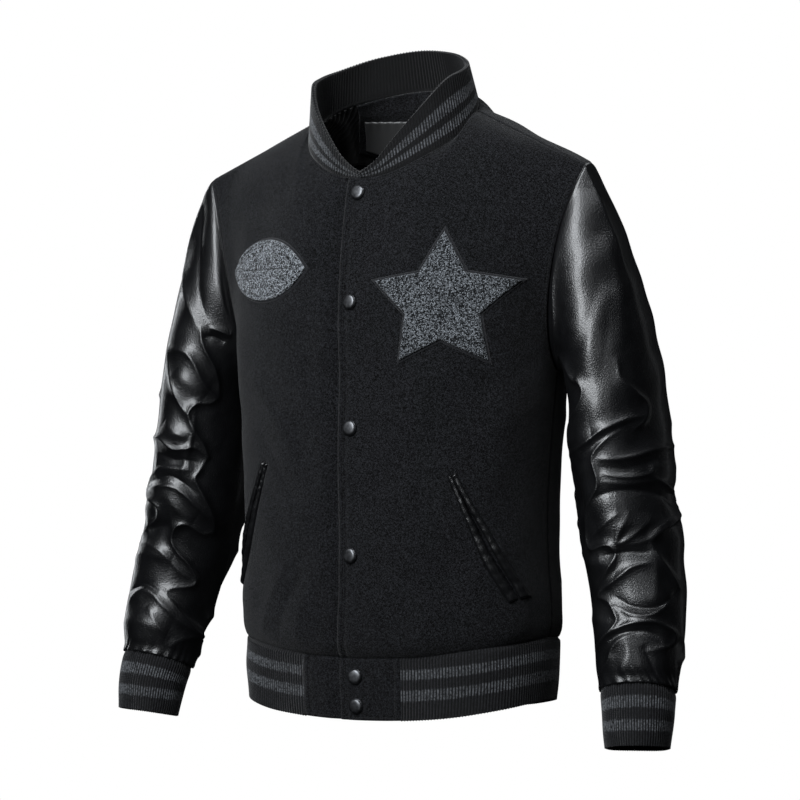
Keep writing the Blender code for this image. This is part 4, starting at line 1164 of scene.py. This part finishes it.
def make_sleeves():
    left = sleeve_base()
    for side, grid, folds, seed, middle in (("left", left, LEFT_SLEEVE_FOLDS, 21, 0.33),
                                            ("right", lifted(mirrored(left)), RIGHT_SLEEVE_FOLDS, 22, 0.17)):
        normals, flip = outward(grid, True)
        folds = lengthened(placed_folds(grid, normals, folds, True))
        folds += on_hidden_side(folds, middle, seed)
        from_end, from_hole, around, _ = edge_distances(grid)
        calm = (1 - bell(from_end, 0.010)) * (1 - bell(from_hole, 0.010))
        heights = calm * (fold_heights(grid, normals, folds, True) + 0.0005 * waves(grid, seed, 0.06))
        pucker = 0.0007 * gathers(around, seed, 0.011) * np.exp(-from_end / 0.009)
        pucker *= np.minimum(1, np.minimum(around, around[:, -1:] - around) / 0.01)
        bead = 0.0020 * bell(from_end, 0.007)
        heights += seam_dip(from_hole, 0.0012) + (bead + 0.7 * rolled(from_end, 0.0018)) + pucker
        outer = grid + normals * heights[..., None]
        thickness = 1.6 * LEATHER - 0.8 * LEATHER * bell(from_end, 0.012)
        inner_height = np.minimum(heights, bead) - thickness
        inner = grid + normals * inner_height[..., None]
        shell(f"sleeve_{side}_leather", outer, inner, leather, closed=True, flip=flip,
              coarser=ARM_COARSER)


# ---- What lies on the fronts --------------------------------------------------------------------------


def tree_of(name):
    mesh = PIECES[name].data
    points = [vertex.co for vertex in mesh.vertices]
    return BVHTree.FromPolygons(points, [face.vertices for face in mesh.polygons])


def hits(tree, places):
    return np.array([tree.ray_cast((x, -0.4, z), (0, 1, 0))[0] for x, z in places.reshape(-1, 2).tolist()])


def on_surface(tree, places, reach=0.0025):
    """Points and outward normals where lines from the front at these x and heights meet a surface."""
    places = np.asarray(places, float)
    points = hits(tree, places)
    across = hits(tree, places + (reach, 0)) - hits(tree, places - (reach, 0))
    up = hits(tree, places + (0, reach)) - hits(tree, places - (0, reach))
    normals = unit(np.cross(across, up))
    return points.reshape(*places.shape[:-1], 3), normals.reshape(*places.shape[:-1], 3)


def even_outline(corners, per_side):
    corners = np.array(corners, float)
    after = np.roll(corners, -1, 0)
    steps = np.linspace(0, 1, per_side, endpoint=False)[:, None]
    return np.concatenate([here + (there - here) * steps for here, there in zip(corners, after)])


def star_corners(radius, inner_share):
    reach = np.tile((radius, radius * inner_share), 5)
    turn = math.pi / 2 + np.arange(10) * math.pi / 5
    return np.stack((np.cos(turn), np.sin(turn)), axis=1) * reach[:, None]


def ball_corners(half_length, half_height, steps=24):
    radius = (half_length**2 + half_height**2) / (2 * half_height)
    half_turn = math.asin(half_length / radius)
    turn = half_turn * (1 - 2 * np.arange(steps) / steps)
    arc = np.stack((radius * np.sin(turn), radius * (np.cos(turn) - 1) + half_height), axis=1)
    return np.concatenate((arc, -arc))


def outline_distance(places, corners):
    best = np.full(places.shape[:-1], np.inf)
    for here, there in zip(corners, np.roll(corners, -1, 0)):
        run = there - here
        t = np.clip(((places - here) @ run) / (run @ run), 0, 1)
        best = np.minimum(best, np.linalg.norm(places - here - t[..., None] * run, axis=-1))
    return best


def curls(places, pitch, seed):
    """Heights from 0 to 1 of round curls scattered about this far apart."""
    offsets = np.random.default_rng(seed).uniform(0.1, 0.9, (97, 97, 2))
    cell = np.floor(places / pitch).astype(int)
    nearest = np.full(places.shape[:-1], 9.0)
    for step in np.ndindex(3, 3):
        other = cell + np.array(step) - 1
        centre = other + offsets[other[..., 0] % 97, other[..., 1] % 97]
        nearest = np.minimum(nearest, np.linalg.norm(places / pitch - centre, axis=-1))
    return np.clip(1 - 1.7 * nearest**2, 0, 1)


def rounded(distance, reach):
    """Share of full height this far from an edge that is rounded over this reach."""
    left = 1 - np.clip(distance / reach, 0, 1)
    return np.sqrt(1 - left**2)


def patch(name, tree, corners, centre, per_side, rings, low, height, material):
    outline = even_outline(corners, per_side)
    shares = spaced(1.0, 1.0 / rings, dense_end=0.4 / rings, fine=0.35 / rings)
    shares[0] = 0.004
    flat = outline[None] * shares[:, None, None]
    points, normals = on_surface(tree, flat + centre)
    top = low + height(flat, outline_distance(flat, corners))
    flip = (np.cross(flat[-1, 0], flat[-1, 1]) < 0) == (shares[-1] > shares[0])
    outer = points + normals * top[..., None]
    shell(name, outer, points + normals * low, material, closed=True, flip=not flip)


def felt_height(flat, edge):
    return FELT * rounded(edge, 0.0012)


def star_height(flat, edge):
    full = CHENILLE * (0.35 + 0.65 * rounded(edge, 0.0035))
    return full + 0.0005 * curls(flat, 0.0026, 31) * rounded(edge, 0.002) - 0.0003


def ball_height(flat, edge):
    seam = bell(flat[..., 1], 0.0009) * (np.abs(flat[..., 0]) < 0.047)
    line = bell(edge - 0.0048, 0.0008)
    full = CHENILLE * (0.35 + 0.65 * rounded(edge, 0.003)) - 0.0016 * np.maximum(seam, line)
    return full + 0.0004 * curls(flat, 0.0024, 32) * rounded(edge, 0.002) - 0.0003


def make_patches():
    star_at, ball_at = np.array(STAR_CENTRE), np.array((-BALL_CENTRE[0], BALL_CENTRE[1]))
    left, right = tree_of("front_left_wool"), tree_of("front_right_wool")
    felt_low, low = 0.0002, 0.0002 + FELT
    patch("star_felt_cloth", left, star_corners(STAR_RADIUS + 1.6 * FELT_BORDER, STAR_INNER), star_at, 20, 16,
          felt_low, felt_height, felt)
    patch("star_pile", left, star_corners(STAR_RADIUS, STAR_INNER), star_at, 36, 54,
          low, star_height, star_pile)
    patch("ball_felt_cloth", right,
          ball_corners(BALL_HALF_LENGTH + FELT_BORDER, BALL_HALF_HEIGHT + 0.7 * FELT_BORDER), ball_at, 4, 14,
          felt_low, felt_height, felt)
    patch("ball_pile", right, ball_corners(BALL_HALF_LENGTH, BALL_HALF_HEIGHT), ball_at, 5, 38, low,
          ball_height, ball_pile)


GAP = ((0.0, 0.0004), (0.15, 0.0008), (0.45, 0.0020), (0.75, 0.0017), (1.0, 0.0006))
FRONT_LIP = ((0.0, 0.0036), (0.3, 0.0050), (0.6, 0.0080), (1.0, 0.0078))
BACK_LIP = ((0.0, 0.0056), (0.3, 0.0062), (0.7, 0.0068), (1.0, 0.0072))


def make_pockets():
    """Each slanted pocket's two rolled leather lips, a little puckered where they are sewn."""
    for side in ("left", "right"):
        tree = tree_of(f"front_{side}_wool")
        top, end = pocket_line(side)
        run = unit(end - top)
        across = np.array((-run[1], run[0])) * (1 if side == "left" else -1)
        steps = spaced(np.linalg.norm(end - top), 0.0016, dense_start=0.002, dense_end=0.002, fine=0.0004)
        widths = spaced(1, 0.09, dense_start=0.05, dense_end=0.05, fine=0.05)
        middle = top + (end - top) * steps[:, None]
        for lip, sign, breadth in (("front", -1, FRONT_LIP), ("back", 1, BACK_LIP)):
            gap, breadth = (from_table(np.array(table), steps)[:, 0] for table in (GAP, breadth))
            reach = gap[:, None] + breadth[:, None] * widths
            uneven = 0.0003 * np.sin(steps * 95 + sign) * np.sin(steps * 37 + 2)
            reach = reach + uneven[:, None] * (1 - widths)
            places = middle[:, None] + sign * across * reach[..., None]
            points, normals = on_surface(tree, places)
            ends = np.minimum(rounded(steps, 0.02), rounded(1 - steps, 0.02))[:, None]
            height = LIP_HEIGHT * (0.1 + 0.9 * rounded(widths, 0.5) * rounded(1 - widths, 0.5))
            pucker = 1 + 0.10 * np.sin(steps * 61 + sign * 2) * np.sin(steps * 23)
            outer = points + normals * (height[None] * ends * pucker[:, None])[..., None]
            shell(f"pocket_{side}_{lip}_leather", outer, points - normals * 0.0004, leather,
                  flip=(sign > 0) == (side == "left"))


# A cap's shape from the middle of its dome to its foot, in shares of its radius and height.
SNAP_PROFILE = (
    (0.25, 0.99), (0.50, 0.96), (0.68, 0.91), (0.80, 0.84), (0.88, 0.73), (0.93, 0.60), (0.955, 0.48),
    (0.965, 0.43), (0.99, 0.41), (1.00, 0.34), (1.00, 0.16), (0.97, 0.04), (0.90, 0.00),
)


def make_snaps():
    turns = np.arange(48) * 2 * math.pi / 48
    for number, height in enumerate(SNAP_HEIGHTS, 1):
        tree = tree_of("front_left_wool" if height > WAIST_SEAM[0] else "tab_left_wool")
        points, normals = on_surface(tree, np.array(((0.0, height),)), 0.006)
        centre, up = points[0], normals[0]
        side = unit(np.cross((0, 0, 1), up))
        top = np.cross(up, side)
        ring = side * np.cos(turns)[:, None] + top * np.sin(turns)[:, None]
        grid = [centre + SNAP_RADIUS * reach * ring + up * (SNAP_HEIGHT * rise)
                for reach, rise in SNAP_PROFILE]
        points = np.concatenate((np.array(grid).reshape(-1, 3), [centre + up * SNAP_HEIGHT, centre]))
        count, last = len(turns), len(grid) - 1
        faces = quads(len(grid), count, True)[:, ::-1].tolist()
        faces += [(step, (step + 1) % count, len(points) - 2) for step in range(count)]
        faces += [(last * count + (step + 1) % count, last * count + step, len(points) - 1)
                  for step in range(count)]
        mesh_piece(f"snap_{number}_cap", points, faces, metal, sharp=60)


# ---- Inside the neck -----------------------------------------------------------------------------------

LINING_ROWS = ((0.62, -0.80, 0.80), (0.72, -0.72, 0.72), (0.82, -0.62, 0.62), (0.90, -0.52, 0.52),
               (0.995, -0.42, 0.42))
FACING_ROWS = ((0.67, -0.38, 0.38), (0.80, -0.34, 0.34), (0.89, -0.30, 0.30), (0.995, -0.265, 0.265))
TOP_DEPTH = {"lining_satin": 0.0052, "facing_wool": 0.0062}
LABEL_ROWS = ((0.69, -0.32, 0.11), (0.80, -0.295, 0.11), (0.87, -0.28, 0.11))


def inside_points(rows, columns, count):
    """A grid on the back's form, inside the neck, and its normals towards the jacket's middle."""
    levels, rights, lefts = np.array(rows).T
    level = np.linspace(levels[0], levels[-1], count)[:, None]
    right, left = np.interp(level, levels, rights), np.interp(level, levels, lefts)
    share = right + (left - right) * np.linspace(0, 1, columns)
    grid = panel_points(share, level, False)
    across = panel_points(share + 0.01, level, False) - panel_points(share - 0.01, level, False)
    up = grid - panel_points(share, level - 0.01, False)
    return grid, unit(np.cross(across, up))


def make_neck_inside():
    for name, rows, depth, thickness, material, slot, columns, count, depth_of in (
        ("lining_satin", LINING_ROWS, 0.0086, LINING, satin, "lining", 241, 27,
         lambda across, down: 0.0013 * gathers(across, 5, 0.008) * np.exp(-down / 0.05)),
        ("facing_wool", FACING_ROWS, 0.0120, WOOL, wool, "wool", 81, 41,
         lambda across, down: 0.0002 * gathers(across, 6, 0.03)),
        ("label_cloth", LABEL_ROWS, 0.0154, LINING, label_satin, "label", 121, 25,
         lambda across, down: 0.0005 * gathers(across, 7, 0.013) * np.exp(-down / 0.008)),
    ):
        grid, inward = inside_points(rows, columns, count)
        across = lengths_along(grid, 1)
        down = lengths_along(grid, 0)
        down = down[-1:] - down
        top = TOP_DEPTH.get(name, depth)
        depth = top + (depth - top) * (1 - ease(down, 0.0, 0.022))
        inner_side = grid + inward * (depth + thickness / 2 + depth_of(across, down))[..., None]
        edge = np.minimum(np.minimum(across, across[:, -1:] - across), np.minimum(down, down.max() - down))
        inner_side -= inward * (0.0006 * (1 - rounded(edge, 0.002)))[..., None]
        shell(name, inner_side, inner_side - inward * thickness, material, flip=True)


# ---- Stitches --------------------------------------------------------------------------------------------


def even_points(line, pitch):
    steps = np.linalg.norm(np.diff(line[:, :3], axis=0), axis=1)
    lengths = np.concatenate(([0], np.cumsum(steps)))
    at = np.arange(pitch, lengths[-1] - pitch, pitch)
    return np.stack([np.interp(at, lengths, column) for column in line.T], axis=1)


def make_stitches(name, lines, material, pitch=0.0032, length=0.0024, radius=0.00028, rise=0.00012):
    """Stitches along lines; a line is its points and the normals there."""
    points, faces = [], []
    ring = np.arange(5) * 2 * math.pi / 5
    for line, normals in lines:
        both = even_points(np.concatenate((line, normals), axis=1), pitch)
        middle, up = both[:, :3], unit(both[:, 3:])
        run = unit(np.gradient(middle, axis=0))
        side = np.cross(run, up)
        for at, u, r, w in zip(middle, up, run, side):
            start = len(points)
            for along, size in ((-0.5, 0.35), (-0.32, 1.0), (0.32, 1.0), (0.5, 0.35)):
                sink = rise - (0.00035 if size < 1 else 0)
                centre = at + r * (along * length) + u * sink
                points += [centre + radius * size * (w * math.cos(t) + u * math.sin(t)) for t in ring]
            for row in range(3):
                for step in range(5):
                    after = (step + 1) % 5
                    here, above = start + row * 5, start + row * 5 + 5
                    faces.append((here + step, above + step, above + after, here + after))
            faces.append([start + step for step in range(5)])
            faces.append([start + 15 + step for step in range(4, -1, -1)])
    mesh_piece(name, np.array(points), faces, material)


def row_line(outer, normals, distance, at, rows):
    """Along these rows, the points where a distance across the grid has this value."""
    found = []
    for row in rows:
        order = np.argsort(distance[row])
        both = np.concatenate((outer[row], normals[row]), axis=1)[order]
        found.append([np.interp(at, distance[row][order], column) for column in both.T])
    found = np.array(found)
    return found[:, :3], found[:, 3:]


def column_line(outer, normals, distance, at, columns):
    turned = (np.swapaxes(grid, 0, 1) for grid in (outer, normals, distance))
    return row_line(*turned, at, columns)


# ---- Studio ------------------------------------------------------------------------------------------

def make_camera():
    camera = bpy.data.objects.new("camera", bpy.data.cameras.new("camera"))
    camera.location = CAMERA
    camera.rotation_euler = (math.pi / 2, 0, VIEW_TURN)
    camera.data.sensor_width = 36
    camera.data.lens = PIXELS_PER_METRE * VIEW_DISTANCE * 36 / PICTURE
    camera.data.shift_x, camera.data.shift_y = 3 / PICTURE, 30 / PICTURE
    bpy.context.scene.collection.objects.link(camera)
    bpy.context.scene.camera = camera


def area_light(name, place, aim, size, power):
    light = bpy.data.lights.new(name, "AREA")
    light.shape = "RECTANGLE"
    light.size, light.size_y = size
    light.energy = power
    light.color = (0.93, 0.965, 1.0)
    obj = bpy.data.objects.new(name, light)
    obj.location = place
    direction = unit(np.array(aim, float) - np.array(place, float))
    turn = math.atan2(direction[1], direction[0]) - math.pi / 2
    tilt = math.acos(-direction[2])
    obj.rotation_euler = (tilt, 0, turn)
    bpy.context.scene.collection.objects.link(obj)


def seen_from_camera(right, towards, up):
    """A place given as metres to the right, towards the camera and up from the jacket's middle."""
    across = np.array((math.cos(VIEW_TURN), math.sin(VIEW_TURN), 0))
    near = np.array((math.sin(VIEW_TURN), -math.cos(VIEW_TURN), 0))
    return across * right + near * towards + np.array((0, 0, VIEW_HEIGHT + up))


FLOOR_HEIGHT, FLOOR_REACH = -1.05, 1.7


def make_floor():
    """A plain pale floor that is seen but throws no light up at the jacket."""
    turns = np.arange(96) * 2 * math.pi / 96
    ring = np.stack((np.cos(turns), np.sin(turns), turns * 0), axis=1) * FLOOR_REACH + (0, 0, FLOOR_HEIGHT)
    mesh = bpy.data.meshes.new("floor")
    mesh.from_pydata(ring.tolist(), [], [list(range(len(ring)))])
    s = Shader("floor_plaster", Roughness=0.9)
    cloud = s.noise(s.place(), 3, 3)
    mesh.materials.append(s.set(Base_Color=s.mix(cloud, (0.80, 0.80, 0.80), (0.84, 0.84, 0.84))))
    floor = bpy.data.objects.new("floor", mesh)
    bpy.context.scene.collection.objects.link(floor)
    floor.visible_diffuse = floor.visible_glossy = False


# Each light's place (metres to the right, towards the camera and up), its width and height, and its watts.
LIGHTS = (
    ("key", (-1.3, 2.1, 1.3), (1.1, 2.2), 84),
    ("fill", (0.5, 3.0, 0.7), (1.0, 1.0), 3.0),
    ("left", (-1.35, -1.7, 0.3), (0.3, 1.8), 7),
    ("right", (1.7, -0.9, 0.3), (0.3, 1.6), 0.3),
    ("top", (0.1, 1.3, 1.9), (2.4, 0.25), 16),
    ("back", (0.2, -1.9, 2.3), (2.4, 1.6), 20),
)


def make_studio():
    middle = seen_from_camera(0, 0, 0)
    for name, place, size, power in LIGHTS:
        area_light(name, seen_from_camera(*place), middle, size, power)
    world = bpy.data.worlds.new("studio")
    bpy.context.scene.world = world
    world.use_nodes = True
    tree = world.node_tree
    tree.nodes.clear()
    path = tree.nodes.new("ShaderNodeLightPath")
    seen, lit = tree.nodes.new("ShaderNodeBackground"), tree.nodes.new("ShaderNodeBackground")
    seen.inputs["Color"].default_value, seen.inputs["Strength"].default_value = (1, 1, 1, 1), 1.0
    lit.inputs["Color"].default_value, lit.inputs["Strength"].default_value = (0.9, 0.95, 1, 1), 0.007
    mix, out = tree.nodes.new("ShaderNodeMixShader"), tree.nodes.new("ShaderNodeOutputWorld")
    tree.links.new(path.outputs["Is Camera Ray"], mix.inputs[0])
    tree.links.new(lit.outputs[0], mix.inputs[1])
    tree.links.new(seen.outputs[0], mix.inputs[2])
    tree.links.new(mix.outputs[0], out.inputs[0])
    scene = bpy.context.scene
    scene.view_settings.view_transform = "Standard"
    scene.view_settings.look = "None"


fronts = make_fronts()
back_shares, back_outer, back_normals = make_back()
make_hem()
tabs = make_tabs()
make_collar()
make_cuffs()
make_sleeves()
make_patches()
make_pockets()
make_snaps()
make_neck_inside()

# ---- Seams' stitches, and what each piece stands for -------------------------------------------------


def sew_panels():
    lines = []
    for side, (shares, outer, normals) in fronts.items():
        _, up, centre, arm = edge_distances(outer)
        shoulder_rows = np.flatnonzero(LEVELS > 0.02)
        neck_columns = np.flatnonzero((shares > -0.02) & (shares < NECK_SHARE - 0.01))
        shoulder_columns = np.flatnonzero(shares > NECK_SHARE + 0.02)
        lines.append(row_line(outer, normals, arm, TOPSTITCH, shoulder_rows))
        lines.append(column_line(outer, normals, up, TOPSTITCH, neck_columns))
        lines.append(column_line(outer, normals, up, TOPSTITCH, shoulder_columns))
        if side == "left":
            lines.append(row_line(outer, normals, centre, FRONT_STITCH, range(2, len(outer) - 4)))
    _, up, left, right = edge_distances(back_outer)
    rows = np.flatnonzero(LEVELS > 0.02)
    lines.append(row_line(back_outer, back_normals, left, TOPSTITCH, rows))
    lines.append(row_line(back_outer, back_normals, right, TOPSTITCH, rows))
    neck_columns = np.flatnonzero(np.abs(back_shares) < NECK_SHARE - 0.01)
    lines.append(column_line(back_outer, back_normals, up, TOPSTITCH, neck_columns))
    for outer, normals in tabs:
        _, bottom, centre, rib_end = edge_distances(outer)
        inner = range(6, outer.shape[0] - 6)
        lines.append(row_line(outer, normals, centre, TAB_STITCH, inner))
        lines.append(row_line(outer, normals, rib_end, TAB_STITCH, inner))
        lines.append(column_line(outer, normals, bottom, TAB_HEM_STITCH, range(6, outer.shape[1] - 6)))
    make_stitches("stitches", lines, thread)


sew_panels()

# Each sheet of cloth: the nodes it stands for, the width and length of its cut (of what shows, in metres),
# the cut's area where it isn't a rectangle, how it is held, and what it lies on.
SHEETS = (
    ("front_left_wool", ["front_left"], (0.285, 0.620), 0.153, "hung"),
    ("front_right_wool", ["front_right"], (0.285, 0.620), 0.153, "hung"),
    ("back_wool", ["back"], (0.520, 0.665), 0.318, "hung"),
    ("hem_knit", ["hem_rib"], (0.860, 0.070), 0.0599, "hung"),
    ("tab_left_wool", ["hem_tab_left"], (0.076, 0.070), None, "hung"),
    ("tab_right_wool", ["hem_tab_right"], (0.090, 0.070), None, "hung"),
    ("collar_knit", ["collar"], (0.624, 0.044), 0.0254, "hung"),
    ("cuff_left_knit", ["cuff_left"], (0.239, 0.064), 0.0153, "hung"),
    ("cuff_right_knit", ["cuff_right"], (0.239, 0.064), 0.0153, "hung"),
    ("sleeve_left_leather", ["sleeve_left_upper", "sleeve_left_lower"], (0.430, 0.590), 0.176, "hung"),
    ("sleeve_right_leather", ["sleeve_right_upper", "sleeve_right_lower"], (0.430, 0.590), 0.176, "hung"),
    ("star_felt_cloth", ["star_felt"], (0.160, 0.152), 0.0115, "laid", "front_left_wool"),
    ("star_pile", ["star_chenille"], (0.150, 0.143), 0.0102, "laid", "star_felt_cloth"),
    ("ball_felt_cloth", ["ball_felt"], (0.133, 0.075), 0.0076, "laid", "front_right_wool"),
    ("ball_pile", ["ball_chenille"], (0.126, 0.070), 0.0069, "laid", "ball_felt_cloth"),
    ("pocket_left_front_leather", ["pocket_left_front_lip"], (0.151, 0.011), None, "folded"),
    ("pocket_left_back_leather", ["pocket_left_back_lip"], (0.151, 0.012), None, "folded"),
    ("pocket_right_front_leather", ["pocket_right_front_lip"], (0.150, 0.011), None, "folded"),
    ("pocket_right_back_leather", ["pocket_right_back_lip"], (0.150, 0.012), None, "folded"),
    ("lining_satin", ["lining_back"], (0.420, 0.110), 0.0360, "gathered"),
    ("facing_wool", ["neck_facing"], (0.190, 0.086), 0.0145, "hung"),
    ("label_cloth", ["neck_label"], (0.124, 0.046), 0.0055, "laid", "facing_wool"),
)
for name, nodes, flat, area, held, *rests_on in SHEETS:
    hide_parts(*nodes)
for number in range(1, len(SNAP_HEIGHTS) + 1):
    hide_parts(f"snap_{number}")

make_camera()
make_studio()
make_floor()
